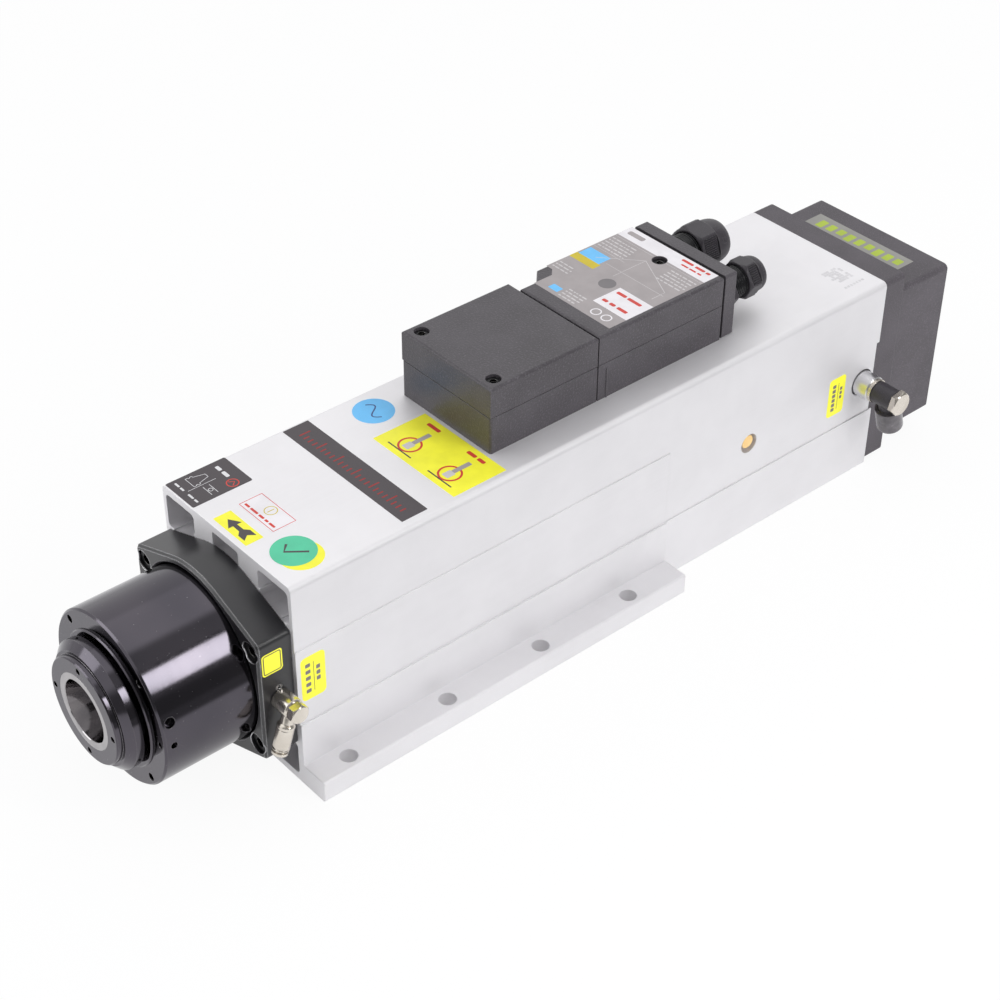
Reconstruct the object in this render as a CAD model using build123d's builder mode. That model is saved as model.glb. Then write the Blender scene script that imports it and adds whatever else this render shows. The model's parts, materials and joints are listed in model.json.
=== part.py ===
from build123d import *
import math
import os

os.makedirs("parts", exist_ok=True)

# Motor spindle, millimetres. X is across, Y runs from the nose to the fan, Z is up from the mounting base.
# The origin is the centre of the foot hole pattern, on the base.

# Body extrusion
body_width = 100.0
body_height = 118.0
body_length = 393.0
body_edge_radius = 3.0
tube_bore_radius = 39.0
side_wall = 2.5
top_wall = 4.0
corner_pocket_height = 19.0
pocket_radius = 2.5
middle_slot_width = 20.0
tube_wall = 6.5
slot_radius = 1.5
pocket_inner_x = 25.0
pocket_floor_radius = 46.5
pocket_ridge = 1.2
pocket_ridge_height = 43.4
pocket_groove = 3.2
pocket_groove_depth = 0.8
pocket_groove_x = 42.0
band_bottom = 37.2
band_top = 81.0
band_proud = 0.5
lower_wall_proud = 1.6
rear_side_cut = 1.0
foot_width = 134.0
foot_thickness = 12.0
foot_length = 234.0
foot_chamfer = 0.8
axis_z = body_height / 2

# Fits shared by the pieces
running_gap = 0.05
body_gap = 0.4
socket_share = 0.58
thread_end_gap = 1.0
small_bevel = 0.5
cut_past = 1.0

# Mounting holes in the feet
foot_bolt_pitch = 60.0
foot_bolts_per_side = 4
foot_bolt_spread = 119.0
foot_bolt_radius = 4.5
first_foot_bolt = 20.0

# Front flange
flange_width = 96.6
flange_thickness = 18.5
flange_arch_radius = 49.0
flange_side_height = 68.0
flange_corner_radius = 3.0
flange_screw_x = 42.3
flange_screw_z = 27.7
flange_screw_radius = 3.0
flange_screw_length = 26.0
screw_head_radius = 4.9
screw_head_height = 6.0
head_recess_radius = 5.4
flange_head_depth = 7.5
flange_edge = 1.2

# Nose
nose_radius = 44.2
nose_length = 67.0
nose_edge = 1.0
nose_gap = 0.5
shoulder_radius = 45.8
shoulder_thickness = 6.0
front_bolt_pcd = 80.0
front_bolt_radius = 2.1
front_bolt_depth = 14.0
front_bolt_count = 4
front_bolt_turn = 45.0
index_hole_radius = 1.5
side_hole_radius = 2.6
side_hole_small_radius = 1.7
side_hole_depth = 4.0
side_hole_setback = 4.8
side_hole_angle = 16.0
spigot_length = 20.0
spigot_clearance = 0.05
spigot_wall = 6.0
bearing_stop = 5.0
bearing_lip = 4.0

# Labyrinth nut and the bearing cover behind it
nut_face_radius = 26.5
nut_disc_radius = 32.5
nut_cone_radius = 28.8
nut_overhang = 14.0
nut_cone_height = 3.5
nut_rim_height = 3.1
nut_hub_radius = 25.0
nut_lip_length = 0.7
nut_lip_height = 0.6
nut_ring_depth = 1.8
nut_hub_depth = 6.0
nut_foot_wall = 3.5
nut_bolt_pcd = 47.6
nut_bolt_count = 4
nut_bolt_radius = 1.65
nut_bolt_depth = 6.0
cover_seat_radius = 34.5
cover_lip = 1.2
cover_lip_bevel = 0.6
cover_web_depth = 4.0
cover_ring_width = 5.0
labyrinth_gap = 0.4

# Shaft with a number 30 taper, 7 in 24
taper_mouth_radius = 15.875
taper_length = 48.4
taper_rise = 7 / 48
mouth_bevel = 0.4
shaft_nose_radius = 19.4
shaft_middle_radius = 17.5
shaft_rotor_radius = 15.5
shaft_shoulder_radius = 24.0
shaft_shoulder_length = 10.0
gripper_bore_radius = 10.2
release_groove_radius = 11.6
release_groove_lip = 1.0
release_groove_length = 9.0
release_groove_slope = 2.0
gripper_bore_reach = 8.0
drawbar_guide_radius = 6.3
spring_bore_radius = 10.6
shaft_rear_overhang = 17.0

# Bearings
bearing_setback = 20.0
front_bearing_bore = 20.0
front_bearing_radius = 34.0
front_bearing_width = 15.0
rear_bearing_bore = 15.0
rear_bearing_radius = 27.5
rear_bearing_width = 13.0
ball_share = 0.27
race_share = 0.62
balls_per_row = 12

# Motor
stator_start = 60.0
stator_setback = 163.0
stator_inner_radius = 23.2
rotor_radius = 22.7
rotor_end_ring = 9.0
rotor_ring_step = 0.8
slot_count = 18
slot_depth = 9.0
slot_width = 3.2
slot_lip = 1.0
winding_overhang = 18.0
winding_inner_radius = 25.5
winding_outer_radius = 36.5
winding_round = 2.0
rear_bearing_setback = 131.0
bearing_carrier_length = 24.0
lock_nut_radius = 19.5
lock_nut_length = 8.0
lock_nut_slots = 4
lock_nut_slot_width = 4.0

# Tool clamp
drawbar_radius = 6.0
drawbar_neck_radius = 4.5
drawbar_neck = 3.0
drawbar_hook = 6.0
drawbar_overhang = 12.0
spring_setback = 244.0
spring_stack_length = 91.0
disc_pairs = 13
disc_inner_radius = 6.6
disc_outer_radius = 10.2
disc_pack = 2.4
disc_join = 0.5
drawbar_nut_length = 12.0
finger_count = 4
finger_length = 22.0
finger_slot = 2.4
finger_front_gap = 1.0
stud_head_radius = 6.6
stud_grip = 1.2
stud_grip_length = 4.0
stud_room = 0.6
clamp_stroke = 7.0

# Tool release cylinder
release_gap = 0.6
cylinder_length = 66.0
cylinder_front_wall = 9.0
cylinder_bore_radius = 32.0
cylinder_cap_length = 9.0
piston_thickness = 16.0
piston_rod_radius = 8.0
piston_chamber = 8.0
piston_groove_width = 2.6
piston_groove_depth = 2.2
piston_groove_shares = (0.3, 0.7)
return_spring_radius = 13.0
return_spring_wire = 2.4
return_spring_turns = 4.0
sensor_radius = 4.0
sensor_offset = 16.0
sensor_distance = 2.5
sensor_seat = 5.0
sensor_nut_height = 3.0
sensor_nut_wall = 3.0
collar_length = 3.5
target_setback = 0.5

# Rear cover and fan
cover_thickness = 14.7
cover_web = 4.0
cover_cavity = 90.0
cover_cavity_margin = 14.0
cover_bottom = 1.0
cover_screw_grip = 20.0
cover_edge_radius = 3.0
cover_lug_depth = 2.0
cover_lug_bottom = 34.6
cover_lug_top = 80.5
cover_lug_width = 0.8
window_inset = 0.5
window_radius = 1.5
fan_square = 95.5
fan_wall = 1.5
fan_edge_radius = 3.0
fan_frame_square = 92.0
fan_frame_depth = 38.0
fan_bore_radius = 43.0
fan_hub_radius = 19.0
fan_blade_count = 7
fan_blade_thickness = 1.8
fan_tip_gap = 1.2
fan_screw_spread = 82.5
fan_screw_radius = 2.1
fan_strut_width = 4.0
fan_base_depth = 6.0
fan_axle_radius = 2.0
fan_axial_gap = 1.0
fan_head_radius = 3.6
fan_head_height = 1.8
blade_root_chord = 26.0
blade_tip_chord = 30.0
blade_root_angle = 52.0
blade_tip_angle = 28.0
fan_hub_round = 2.0
blade_root_depth = 1.0
guard_thickness = 2.3
guard_rings = 3
guard_bar = 2.2

# Connector box
box_width = 66.0
box_centre_x = -2.0
box_height = 37.0
base_height = 20.3
box_front = 131.0
lid_split = 199.5
box_rear = 284.8
box_wall = 3.0
box_edge = 1.4
seam_gap = 0.4
split_gap = 0.8
seam_depth = 0.8
base_rib_offset = 6.0
base_rib_width = 0.8
base_rib_proud = 0.4
base_rib_height = 17.0
end_plate_gap = 1.5
end_plate_thickness = 8.2
gasket_inset = 1.2
lid_notch_width = 8.0
lid_notch_length = 11.0
lid_notch_slope = 7.5
lid_screw_inset_x = 6.5
lid_screw_front = 7.2
lid_screw_rear = 13.0
lid_screw_radius = 1.9
lid_head_radius = 3.3
lid_recess_radius = 3.9
lid_recess_depth = 4.0
lid_head_height = 2.6
lid_screw_grip = 10.0
lid_boss_wall = 1.6
terminal_width = 44.0
terminal_depth = 16.0
terminal_height = 12.0
terminal_ways = 6
terminal_screw_radius = 1.8

# Cable glands
gland_height = 18.5
large_gland_x = -20.5
small_gland_x = 16.5
large_nut_flats = 27.0
small_nut_flats = 22.0
large_gland_length = 37.5
small_gland_length = 27.5
large_cable_radius = 6.5
small_cable_radius = 4.5
gland_flange_height = 5.0
gland_shank = 7.0
large_thread_radius = 10.0
small_thread_radius = 8.0
gland_thread_length = 19.0
large_nut_start = 15.5
small_nut_start = 14.5
gland_dome_share = 0.3
nut_bevel = 1.2
dome_middle_back = 0.42
dome_middle_drop = 0.22
dome_mouth_wall = 1.6
seal_inset = 0.6

# Air fittings
front_port_reach = 8.3
front_port_drop = 0.7
front_ring_radius = 5.2
front_ring_length = 11.0
front_barrel_offset = 7.6
front_elbow_tilt = 17.5
front_barrel_radius = 4.2
front_barrel_length = 13.3
front_barrel_start = 9.4
front_tube_radius = 2.0
front_hex = 9.0
front_hex_height = 4.3
front_shank_radius = 2.4
front_shank_depth = 8.0
front_neck_radius = 3.4
front_collar_radius = 3.1
front_collar_flange = 3.9
rear_port_setback = 11.0
sleeve_radius = 7.3
sleeve_recess_radius = 8.0
sleeve_proud = 9.5
rear_ring_radius = 6.2
rear_ring_length = 13.0
rear_elbow_tilt = -16.0
rear_barrel_radius = 5.9
rear_tube_radius = 3.0
rear_hex = 13.0
rear_hex_height = 3.6
rear_shank_radius = 3.5
rear_shank_depth = 16.0
rear_neck_radius = 5.2
rear_collar_radius = 4.4
rear_collar_flange = 5.0
rear_barrel_start = 8.0
rear_barrel_length = 9.0
rear_washer_radius = 6.7
rear_washer_thickness = 2.0
sleeve_seat_x = 37.0
port_hex_turn = 12.0
hex_face_share = 0.94
swivel_gap = 0.3
dust_cap_radius = 7.3
dust_cap_wall = 1.0
dust_cap_length = 15.0
dust_cap_setback = 0.5
dust_cap_round = 2.6
collar_travel = 0.9
collar_gap = 1.2
collar_depth = 6.0
collar_flange = 1.3
port_bore_radius = 2.45
set_screw_radius = 1.5
set_screw_length = 3.2
set_screw_height = 6.1

# Side plug
side_plug_setback = 99.4
side_recess_radius = 5.7
side_recess_depth = 6.0
side_plug_radius = 3.7
side_plug_length = 5.0
side_plug_proud = 0.5

# Places along the axis, worked out from the sizes above
front_y = -(first_foot_bolt + foot_bolt_pitch * (foot_bolts_per_side - 1) / 2)
rear_y = front_y + body_length
flange_y = front_y - flange_thickness
nose_y = front_y - nose_length
nut_y = nose_y - nut_overhang
spindle_axis = Axis((0, 0, axis_z), (0, 1, 0))
half_width = body_width / 2
front_port_y = front_y - front_port_reach
front_port_z = axis_z - front_port_drop
rear_port_y = rear_y - rear_port_setback


def section_plane(y):
    """Plane across the spindle at y, seen from the nose, with its origin on the base."""
    return Plane(origin=(0, y, 0), x_dir=(1, 0, 0), z_dir=(0, -1, 0))


def axis_plane(y):
    """Plane across the spindle at y, seen from the nose, with its origin on the spindle axis."""
    return Plane(origin=(0, y, axis_z), x_dir=(1, 0, 0), z_dir=(0, -1, 0))


def side_plane(x, y, z):
    """Plane facing +X at a point of the body's side."""
    return Plane(origin=(x, y, z), x_dir=(0, 1, 0), z_dir=(1, 0, 0))


def turned(points, height=axis_z):
    """Half profile of a turned piece, given as pairs of place along Y and radius."""
    with BuildSketch(Plane(origin=(0, 0, height), x_dir=(0, 1, 0), z_dir=(1, 0, 0))) as profile:
        with BuildLine():
            Polyline(*points, close=True)
        make_face()
    return profile.sketch


def ring(start, end, outer, inner):
    """Half profile of a plain ring round the spindle axis."""
    return turned([(start, inner), (start, outer), (end, outer), (end, inner)])


# Body extrusion: one closed section with a round centre tube, air channels round it and foot flanges
def body_section(low_wall, band, foot):
    with BuildSketch(section_plane(front_y)) as section:
        with Locations((0, body_height / 2)):
            Rectangle(body_width, body_height)
        upper = section.vertices().group_by(Axis.Z)[-1]
        fillet(upper, body_edge_radius)
        with Locations((0, (band_bottom + band_top) / 2)):
            Rectangle(body_width + 2 * band, band_top - band_bottom)
        with Locations((0, band_bottom / 2)):
            Rectangle(body_width + 2 * low_wall, band_bottom)
        if foot > 0:
            with Locations((0, foot_thickness / 2)):
                Rectangle(foot, foot_thickness)
    return section.sketch


pocket_outer_x = half_width - side_wall
pocket_width = pocket_outer_x - pocket_inner_x
pocket_level = axis_z - top_wall - corner_pocket_height / 2
groove_level = pocket_level - corner_pocket_height / 2
cover_lug_z = (cover_lug_bottom + cover_lug_top) / 2
middle_slot_height = axis_z - top_wall - tube_bore_radius - tube_wall
middle_slot_level = tube_bore_radius + tube_wall + middle_slot_height / 2

with BuildPart() as body_extrusion:
    extrude(body_section(lower_wall_proud, band_proud, foot_width), amount=-foot_length)
    with BuildSketch(section_plane(front_y + foot_length)):
        add(body_section(lower_wall_proud - rear_side_cut, 0.0, 0.0).moved(Location((0, foot_length, 0))))
    extrude(amount=-(body_length - foot_length))
    with BuildSketch(axis_plane(front_y)):
        Circle(tube_bore_radius)
    extrude(amount=-body_length, mode=Mode.SUBTRACT)
    with BuildSketch(axis_plane(front_y)):
        for side in (-1, 1):
            for level in (-1, 1):
                with Locations((side * (pocket_inner_x + pocket_width / 2), level * pocket_level)):
                    RectangleRounded(pocket_width, corner_pocket_height, pocket_radius)
        Circle(pocket_floor_radius, mode=Mode.SUBTRACT)
        for side in (-1, 1):
            for level in (-1, 1):
                with Locations((side * pocket_inner_x, level * pocket_ridge_height)):
                    Rectangle(2 * pocket_ridge, pocket_ridge, mode=Mode.SUBTRACT)
                with Locations((side * pocket_groove_x, level * groove_level)):
                    Rectangle(pocket_groove, 2 * pocket_groove_depth)
        for level in (-1, 1):
            with Locations((0, level * middle_slot_level)):
                RectangleRounded(middle_slot_width, middle_slot_height, slot_radius)
    extrude(amount=-body_length, mode=Mode.SUBTRACT)
    with BuildSketch(Plane.XY.offset(foot_thickness)):
        with GridLocations(foot_bolt_spread, foot_bolt_pitch, 2, foot_bolts_per_side):
            Circle(foot_bolt_radius)
    extrude(amount=-foot_thickness, mode=Mode.SUBTRACT)
    with BuildSketch(axis_plane(front_y)):
        with GridLocations(2 * flange_screw_x, 2 * flange_screw_z, 2, 2):
            Circle(flange_screw_radius)
    extrude(amount=-flange_screw_length, mode=Mode.SUBTRACT)
    with BuildSketch(axis_plane(rear_y)):
        with GridLocations(2 * flange_screw_x, 2 * flange_screw_z, 2, 2):
            Circle(flange_screw_radius)
    extrude(amount=flange_screw_length, mode=Mode.SUBTRACT)
    with BuildSketch(side_plane(half_width + lower_wall_proud, rear_y - side_plug_setback, axis_z)):
        Circle(side_recess_radius)
    extrude(amount=-(side_recess_depth + lower_wall_proud), mode=Mode.SUBTRACT)
    with BuildSketch(side_plane(half_width, rear_y - side_plug_setback, axis_z)):
        Circle(side_plug_radius)
    extrude(amount=-half_width, mode=Mode.SUBTRACT)
    with BuildSketch(side_plane(half_width + lower_wall_proud, rear_port_y, axis_z)):
        Circle(sleeve_recess_radius)
    extrude(amount=-half_width, mode=Mode.SUBTRACT)
    for side in (-1, 1):
        with BuildSketch(section_plane(rear_y)):
            with Locations((side * (half_width - cover_lug_width / 2), cover_lug_z)):
                Rectangle(cover_lug_width, cover_lug_top - cover_lug_bottom)
        extrude(amount=cover_lug_depth, mode=Mode.SUBTRACT)
    foot_edges = body_extrusion.edges().filter_by(Axis.Y).filter_by(
        lambda edge: abs(abs(edge.center().X) - foot_width / 2) < 0.01)
    chamfer(foot_edges, foot_chamfer)
body_extrusion.part.label = "body_extrusion"
export_step(body_extrusion.part, "parts/body_extrusion.step")


# Front flange: arched plate that clamps the nose cartridge to the body
with BuildPart() as front_flange:
    with BuildSketch(axis_plane(front_y)) as flange_outline:
        Circle(flange_arch_radius)
        Rectangle(flange_width, flange_side_height)
        make_hull()
        Rectangle(flange_width, 2 * flange_arch_radius, mode=Mode.INTERSECT)
        side_corners = flange_outline.vertices().filter_by(
            lambda corner: abs(corner.X) > flange_width / 2 - running_gap)
        fillet(side_corners, flange_corner_radius)
    extrude(amount=flange_thickness)
    flange_face = front_flange.faces().sort_by(Axis.Y)[0]
    chamfer(flange_face.outer_wire().edges(), flange_edge)
    with BuildSketch(axis_plane(front_y)):
        Circle(nose_radius + nose_gap)
    extrude(amount=flange_thickness, mode=Mode.SUBTRACT)
    bore_edge = front_flange.faces().sort_by(Axis.Y)[0].inner_wires()[0].edges()
    chamfer(bore_edge, 2 * nose_gap)
    with BuildSketch(axis_plane(front_y)):
        Circle(shoulder_radius + spigot_clearance)
    extrude(amount=shoulder_thickness, mode=Mode.SUBTRACT)
    with BuildSketch(axis_plane(flange_y)):
        with GridLocations(2 * flange_screw_x, 2 * flange_screw_z, 2, 2):
            Circle(flange_screw_radius + spigot_clearance)
    extrude(amount=-flange_thickness, mode=Mode.SUBTRACT)
    with BuildSketch(axis_plane(flange_y)):
        with GridLocations(2 * flange_screw_x, 2 * flange_screw_z, 2, 2):
            Circle(head_recess_radius)
    extrude(amount=-flange_head_depth, mode=Mode.SUBTRACT)
    with BuildSketch(side_plane(flange_width / 2, front_port_y, front_port_z)):
        Circle(port_bore_radius)
        with Locations((0, set_screw_height)):
            Circle(set_screw_radius)
    extrude(amount=-flange_width / 2, mode=Mode.SUBTRACT)
front_flange.part.label = "front_flange"
export_step(front_flange.part, "parts/front_flange.step")


def socket_screw(radius, length, head_radius, head_height):
    """Socket head screw that stands on its thread, with the seat of its head at the origin."""
    with BuildPart() as screw:
        with BuildSketch(Plane.XY):
            Circle(head_radius)
        extrude(amount=head_height)
        with BuildSketch(Plane.XY.offset(head_height)):
            RegularPolygon(head_radius * socket_share, 6)
        extrude(amount=-head_height / 2, mode=Mode.SUBTRACT)
        with BuildSketch(Plane.XY):
            Circle(radius)
        extrude(amount=-length)
    return screw


def corner_plane(y, x, z, toward):
    """Plane at a corner screw, facing the nose for -1 and the fan for 1."""
    return Plane(origin=(x, y, axis_z + z), x_dir=(1, 0, 0), z_dir=(0, toward, 0))


flange_screw_reach = flange_thickness - flange_head_depth + flange_screw_length - thread_end_gap
flange_screw = socket_screw(flange_screw_radius - running_gap, flange_screw_reach, screw_head_radius,
                            screw_head_height)
with BuildPart() as flange_screws:
    for x in (-flange_screw_x, flange_screw_x):
        for z in (-flange_screw_z, flange_screw_z):
            with Locations(corner_plane(flange_y + flange_head_depth, x, z, -1)):
                add(flange_screw.part)
flange_screws.part.label = "flange_screws"
export_step(flange_screws.part, "parts/flange_screws.step")


# Nose housing: cartridge that carries the front bearings
bearing_rear = front_y - bearing_setback
bearing_front = bearing_rear - 2 * front_bearing_width
with BuildPart() as nose_housing:
    revolve(turned([
        (nose_y, front_bearing_radius),
        (nose_y, nose_radius - nose_edge),
        (nose_y + nose_edge, nose_radius),
        (front_y - shoulder_thickness, nose_radius),
        (front_y - shoulder_thickness, shoulder_radius),
        (front_y, shoulder_radius),
        (front_y, tube_bore_radius - spigot_clearance),
        (front_y + spigot_length, tube_bore_radius - spigot_clearance),
        (front_y + spigot_length, tube_bore_radius - spigot_wall),
        (bearing_rear + bearing_stop, tube_bore_radius - spigot_wall),
        (bearing_rear + bearing_stop, front_bearing_radius - bearing_lip),
        (bearing_rear, front_bearing_radius - bearing_lip),
        (bearing_rear, front_bearing_radius),
    ]), axis=spindle_axis)
    with BuildSketch(axis_plane(nose_y)):
        with PolarLocations(front_bolt_pcd / 2, front_bolt_count, front_bolt_turn):
            Circle(front_bolt_radius)
    extrude(amount=-front_bolt_depth, mode=Mode.SUBTRACT)
    with BuildSketch(axis_plane(nose_y)):
        with Locations((front_bolt_pcd / 2, 0)):
            Circle(index_hole_radius)
    extrude(amount=-front_bolt_depth / 2, mode=Mode.SUBTRACT)
    for hole_radius, angle in ((side_hole_radius, side_hole_angle), (side_hole_small_radius, 0.0)):
        lift = math.radians(angle)
        outward = Vector(math.cos(lift), 0, math.sin(lift))
        centre = Vector(0, nose_y + side_hole_setback, axis_z) + outward * nose_radius
        with BuildSketch(Plane(origin=centre, x_dir=(0, 1, 0), z_dir=outward)):
            Circle(hole_radius)
        extrude(amount=-side_hole_depth, mode=Mode.SUBTRACT)
    with BuildSketch(side_plane(half_width, front_port_y, front_port_z)):
        Circle(port_bore_radius)
    extrude(amount=-(half_width - tube_bore_radius + spigot_wall), mode=Mode.SUBTRACT)
nose_housing.part.label = "nose_housing"
export_step(nose_housing.part, "parts/nose_housing.step")

with BuildPart() as bearing_cover:
    revolve(turned([
        (nose_y - cover_lip, nut_hub_radius + labyrinth_gap),
        (nose_y - cover_lip, cover_seat_radius - cover_lip_bevel),
        (nose_y - cover_lip + cover_lip_bevel, cover_seat_radius),
        (nose_y, cover_seat_radius),
        (nose_y, front_bearing_radius - spigot_clearance),
        (bearing_front, front_bearing_radius - spigot_clearance),
        (bearing_front, front_bearing_radius - cover_ring_width),
        (nose_y + cover_web_depth, front_bearing_radius - cover_ring_width),
        (nose_y + cover_web_depth, nut_hub_radius + labyrinth_gap),
    ]), axis=spindle_axis)
bearing_cover.part.label = "bearing_cover"
export_step(bearing_cover.part, "parts/bearing_cover.step")

# Labyrinth nut: clamps the inner rings and turns with the shaft
nut_back = nose_y - cover_lip - labyrinth_gap - nut_ring_depth
with BuildPart() as labyrinth_nut:
    revolve(turned([
        (nut_y, shaft_nose_radius + running_gap),
        (nut_y, nut_face_radius),
        (nut_y + nut_lip_length, nut_face_radius + nut_lip_height),
        (nut_y + nut_rim_height, nut_face_radius + nut_lip_height),
        (nut_y + nut_rim_height, nut_cone_radius),
        (nut_y + nut_rim_height + nut_cone_height, nut_disc_radius),
        (nut_back, nut_disc_radius),
        (nut_back, nut_hub_radius),
        (nose_y + nut_hub_depth, nut_hub_radius),
        (nose_y + nut_hub_depth, front_bearing_bore + nut_foot_wall),
        (bearing_front, front_bearing_bore + nut_foot_wall),
        (bearing_front, shaft_nose_radius + running_gap),
    ]), axis=spindle_axis)
    with BuildSketch(axis_plane(nut_y)):
        with PolarLocations(nut_bolt_pcd / 2, nut_bolt_count):
            Circle(nut_bolt_radius)
    extrude(amount=-nut_bolt_depth, mode=Mode.SUBTRACT)
labyrinth_nut.part.label = "labyrinth_nut"
export_step(labyrinth_nut.part, "parts/labyrinth_nut.step")

# Shaft: taper at the front, gripper bore, drawbar guide and spring bore behind it
taper_end = nut_y + taper_length
taper_end_radius = taper_mouth_radius - taper_length * taper_rise
rear_bearing_y = rear_y - rear_bearing_setback
shaft_rear = rear_bearing_y + rear_bearing_width + shaft_rear_overhang
spring_seat = rear_y - spring_setback
groove_front = taper_end + release_groove_lip
groove_rear = groove_front + release_groove_length
gripper_bore_end = front_y + gripper_bore_reach
with BuildPart() as shaft:
    revolve(turned([
        (nut_y + mouth_bevel, taper_mouth_radius - mouth_bevel * taper_rise),
        (nut_y, taper_mouth_radius + mouth_bevel),
        (nut_y, shaft_nose_radius),
        (bearing_front, shaft_nose_radius),
        (bearing_front, front_bearing_bore - running_gap),
        (bearing_rear, front_bearing_bore - running_gap),
        (bearing_rear, shaft_shoulder_radius),
        (bearing_rear + shaft_shoulder_length, shaft_shoulder_radius),
        (bearing_rear + shaft_shoulder_length, shaft_middle_radius),
        (front_y + stator_start - rotor_end_ring, shaft_middle_radius),
        (front_y + stator_start - rotor_end_ring, shaft_rotor_radius),
        (rear_bearing_y, shaft_rotor_radius),
        (rear_bearing_y, rear_bearing_bore - running_gap),
        (shaft_rear, rear_bearing_bore - running_gap),
        (shaft_rear, spring_bore_radius),
        (spring_seat, spring_bore_radius),
        (spring_seat, drawbar_guide_radius),
        (gripper_bore_end, drawbar_guide_radius),
        (gripper_bore_end, gripper_bore_radius),
        (groove_rear + release_groove_slope, gripper_bore_radius),
        (groove_rear, release_groove_radius),
        (groove_front, release_groove_radius),
        (groove_front, taper_end_radius),
        (taper_end, taper_end_radius),
    ]), axis=spindle_axis)
shaft.part.label = "shaft"
export_step(shaft.part, "parts/shaft.step")


# Bearings: rings with a rolling groove, and their balls
front_rows = [bearing_front, bearing_front + front_bearing_width]
front_pitch = (front_bearing_bore + front_bearing_radius) / 2
front_ball = (front_bearing_radius - front_bearing_bore) * ball_share
rear_pitch = (rear_bearing_bore + rear_bearing_radius) / 2
rear_ball = (rear_bearing_radius - rear_bearing_bore) * ball_share


def outer_ring(start, width, radius, pitch, ball):
    """Outer bearing ring with its rolling groove."""
    with BuildPart() as race:
        revolve(ring(start, start + width, radius, pitch + ball * race_share), axis=spindle_axis)
        with BuildSketch(side_plane(0, start + width / 2, axis_z)) as groove:
            with Locations((0, pitch)):
                Circle(ball + running_gap)
        revolve(groove.sketch, axis=spindle_axis, mode=Mode.SUBTRACT)
    return race


def inner_ring(start, width, radius, pitch, ball):
    """Inner bearing ring with its rolling groove."""
    with BuildPart() as race:
        revolve(ring(start, start + width, pitch - ball * race_share, radius), axis=spindle_axis)
        with BuildSketch(side_plane(0, start + width / 2, axis_z)) as groove:
            with Locations((0, pitch)):
                Circle(ball + running_gap)
        revolve(groove.sketch, axis=spindle_axis, mode=Mode.SUBTRACT)
    return race


def ball_row(start, width, pitch, ball):
    """One row of balls."""
    with BuildPart() as balls:
        with Locations(axis_plane(start + width / 2)):
            with PolarLocations(pitch, balls_per_row):
                Sphere(ball)
    return balls


outer_fit_radius = front_bearing_radius - running_gap
outer_pair = [outer_ring(row, front_bearing_width, outer_fit_radius, front_pitch, front_ball)
              for row in front_rows]
with BuildPart() as front_outer_rings:
    for race in outer_pair:
        add(race.part)
front_outer_rings.part.label = "front_outer_rings"
export_step(front_outer_rings.part, "parts/front_outer_rings.step")

inner_pair = [inner_ring(row, front_bearing_width, front_bearing_bore, front_pitch, front_ball)
              for row in front_rows]
with BuildPart() as front_inner_rings:
    for race in inner_pair:
        add(race.part)
front_inner_rings.part.label = "front_inner_rings"
export_step(front_inner_rings.part, "parts/front_inner_rings.step")

ball_pair = [ball_row(row, front_bearing_width, front_pitch, front_ball) for row in front_rows]
with BuildPart() as front_balls:
    for balls in ball_pair:
        add(balls.part)
front_balls.part.label = "front_balls"
export_step(front_balls.part, "parts/front_balls.step")

rear_outer_ring = outer_ring(rear_bearing_y, rear_bearing_width, rear_bearing_radius - running_gap,
                             rear_pitch, rear_ball)
rear_outer_ring.part.label = "rear_outer_ring"
export_step(rear_outer_ring.part, "parts/rear_outer_ring.step")

rear_inner_ring = inner_ring(rear_bearing_y, rear_bearing_width, rear_bearing_bore, rear_pitch, rear_ball)
rear_inner_ring.part.label = "rear_inner_ring"
export_step(rear_inner_ring.part, "parts/rear_inner_ring.step")

rear_balls = ball_row(rear_bearing_y, rear_bearing_width, rear_pitch, rear_ball)
rear_balls.part.label = "rear_balls"
export_step(rear_balls.part, "parts/rear_balls.step")

with BuildPart() as rear_bearing_housing:
    carrier_rear = rear_bearing_y + bearing_carrier_length
    revolve(turned([
        (rear_bearing_y - bearing_stop, rear_bearing_radius - bearing_lip),
        (rear_bearing_y - bearing_stop, tube_bore_radius - spigot_clearance),
        (carrier_rear, tube_bore_radius - spigot_clearance),
        (carrier_rear, rear_bearing_radius),
        (rear_bearing_y, rear_bearing_radius),
        (rear_bearing_y, rear_bearing_radius - bearing_lip),
    ]), axis=spindle_axis)
rear_bearing_housing.part.label = "rear_bearing_housing"
export_step(rear_bearing_housing.part, "parts/rear_bearing_housing.step")

with BuildPart() as rear_lock_nut:
    nut_start = rear_bearing_y + rear_bearing_width
    revolve(ring(nut_start, nut_start + lock_nut_length, lock_nut_radius, rear_bearing_bore),
            axis=spindle_axis)
    with BuildSketch(axis_plane(nut_start + lock_nut_length)):
        with PolarLocations(lock_nut_radius, lock_nut_slots):
            Rectangle(lock_nut_slot_width, lock_nut_slot_width)
    extrude(amount=lock_nut_length, mode=Mode.SUBTRACT)
rear_lock_nut.part.label = "rear_lock_nut"
export_step(rear_lock_nut.part, "parts/rear_lock_nut.step")


# Motor: slotted stator stack, copper end turns, rotor on the shaft
stator_y = front_y + stator_start
stator_length = body_length - stator_start - stator_setback
with BuildPart() as stator_core:
    with BuildSketch(axis_plane(stator_y)):
        Circle(tube_bore_radius - spigot_clearance)
        Circle(stator_inner_radius, mode=Mode.SUBTRACT)
        with PolarLocations(stator_inner_radius + slot_lip + slot_depth / 2, slot_count):
            Rectangle(slot_depth, slot_width, mode=Mode.SUBTRACT)
    extrude(amount=-stator_length)
stator_core.part.label = "stator_core"
export_step(stator_core.part, "parts/stator_core.step")

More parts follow.
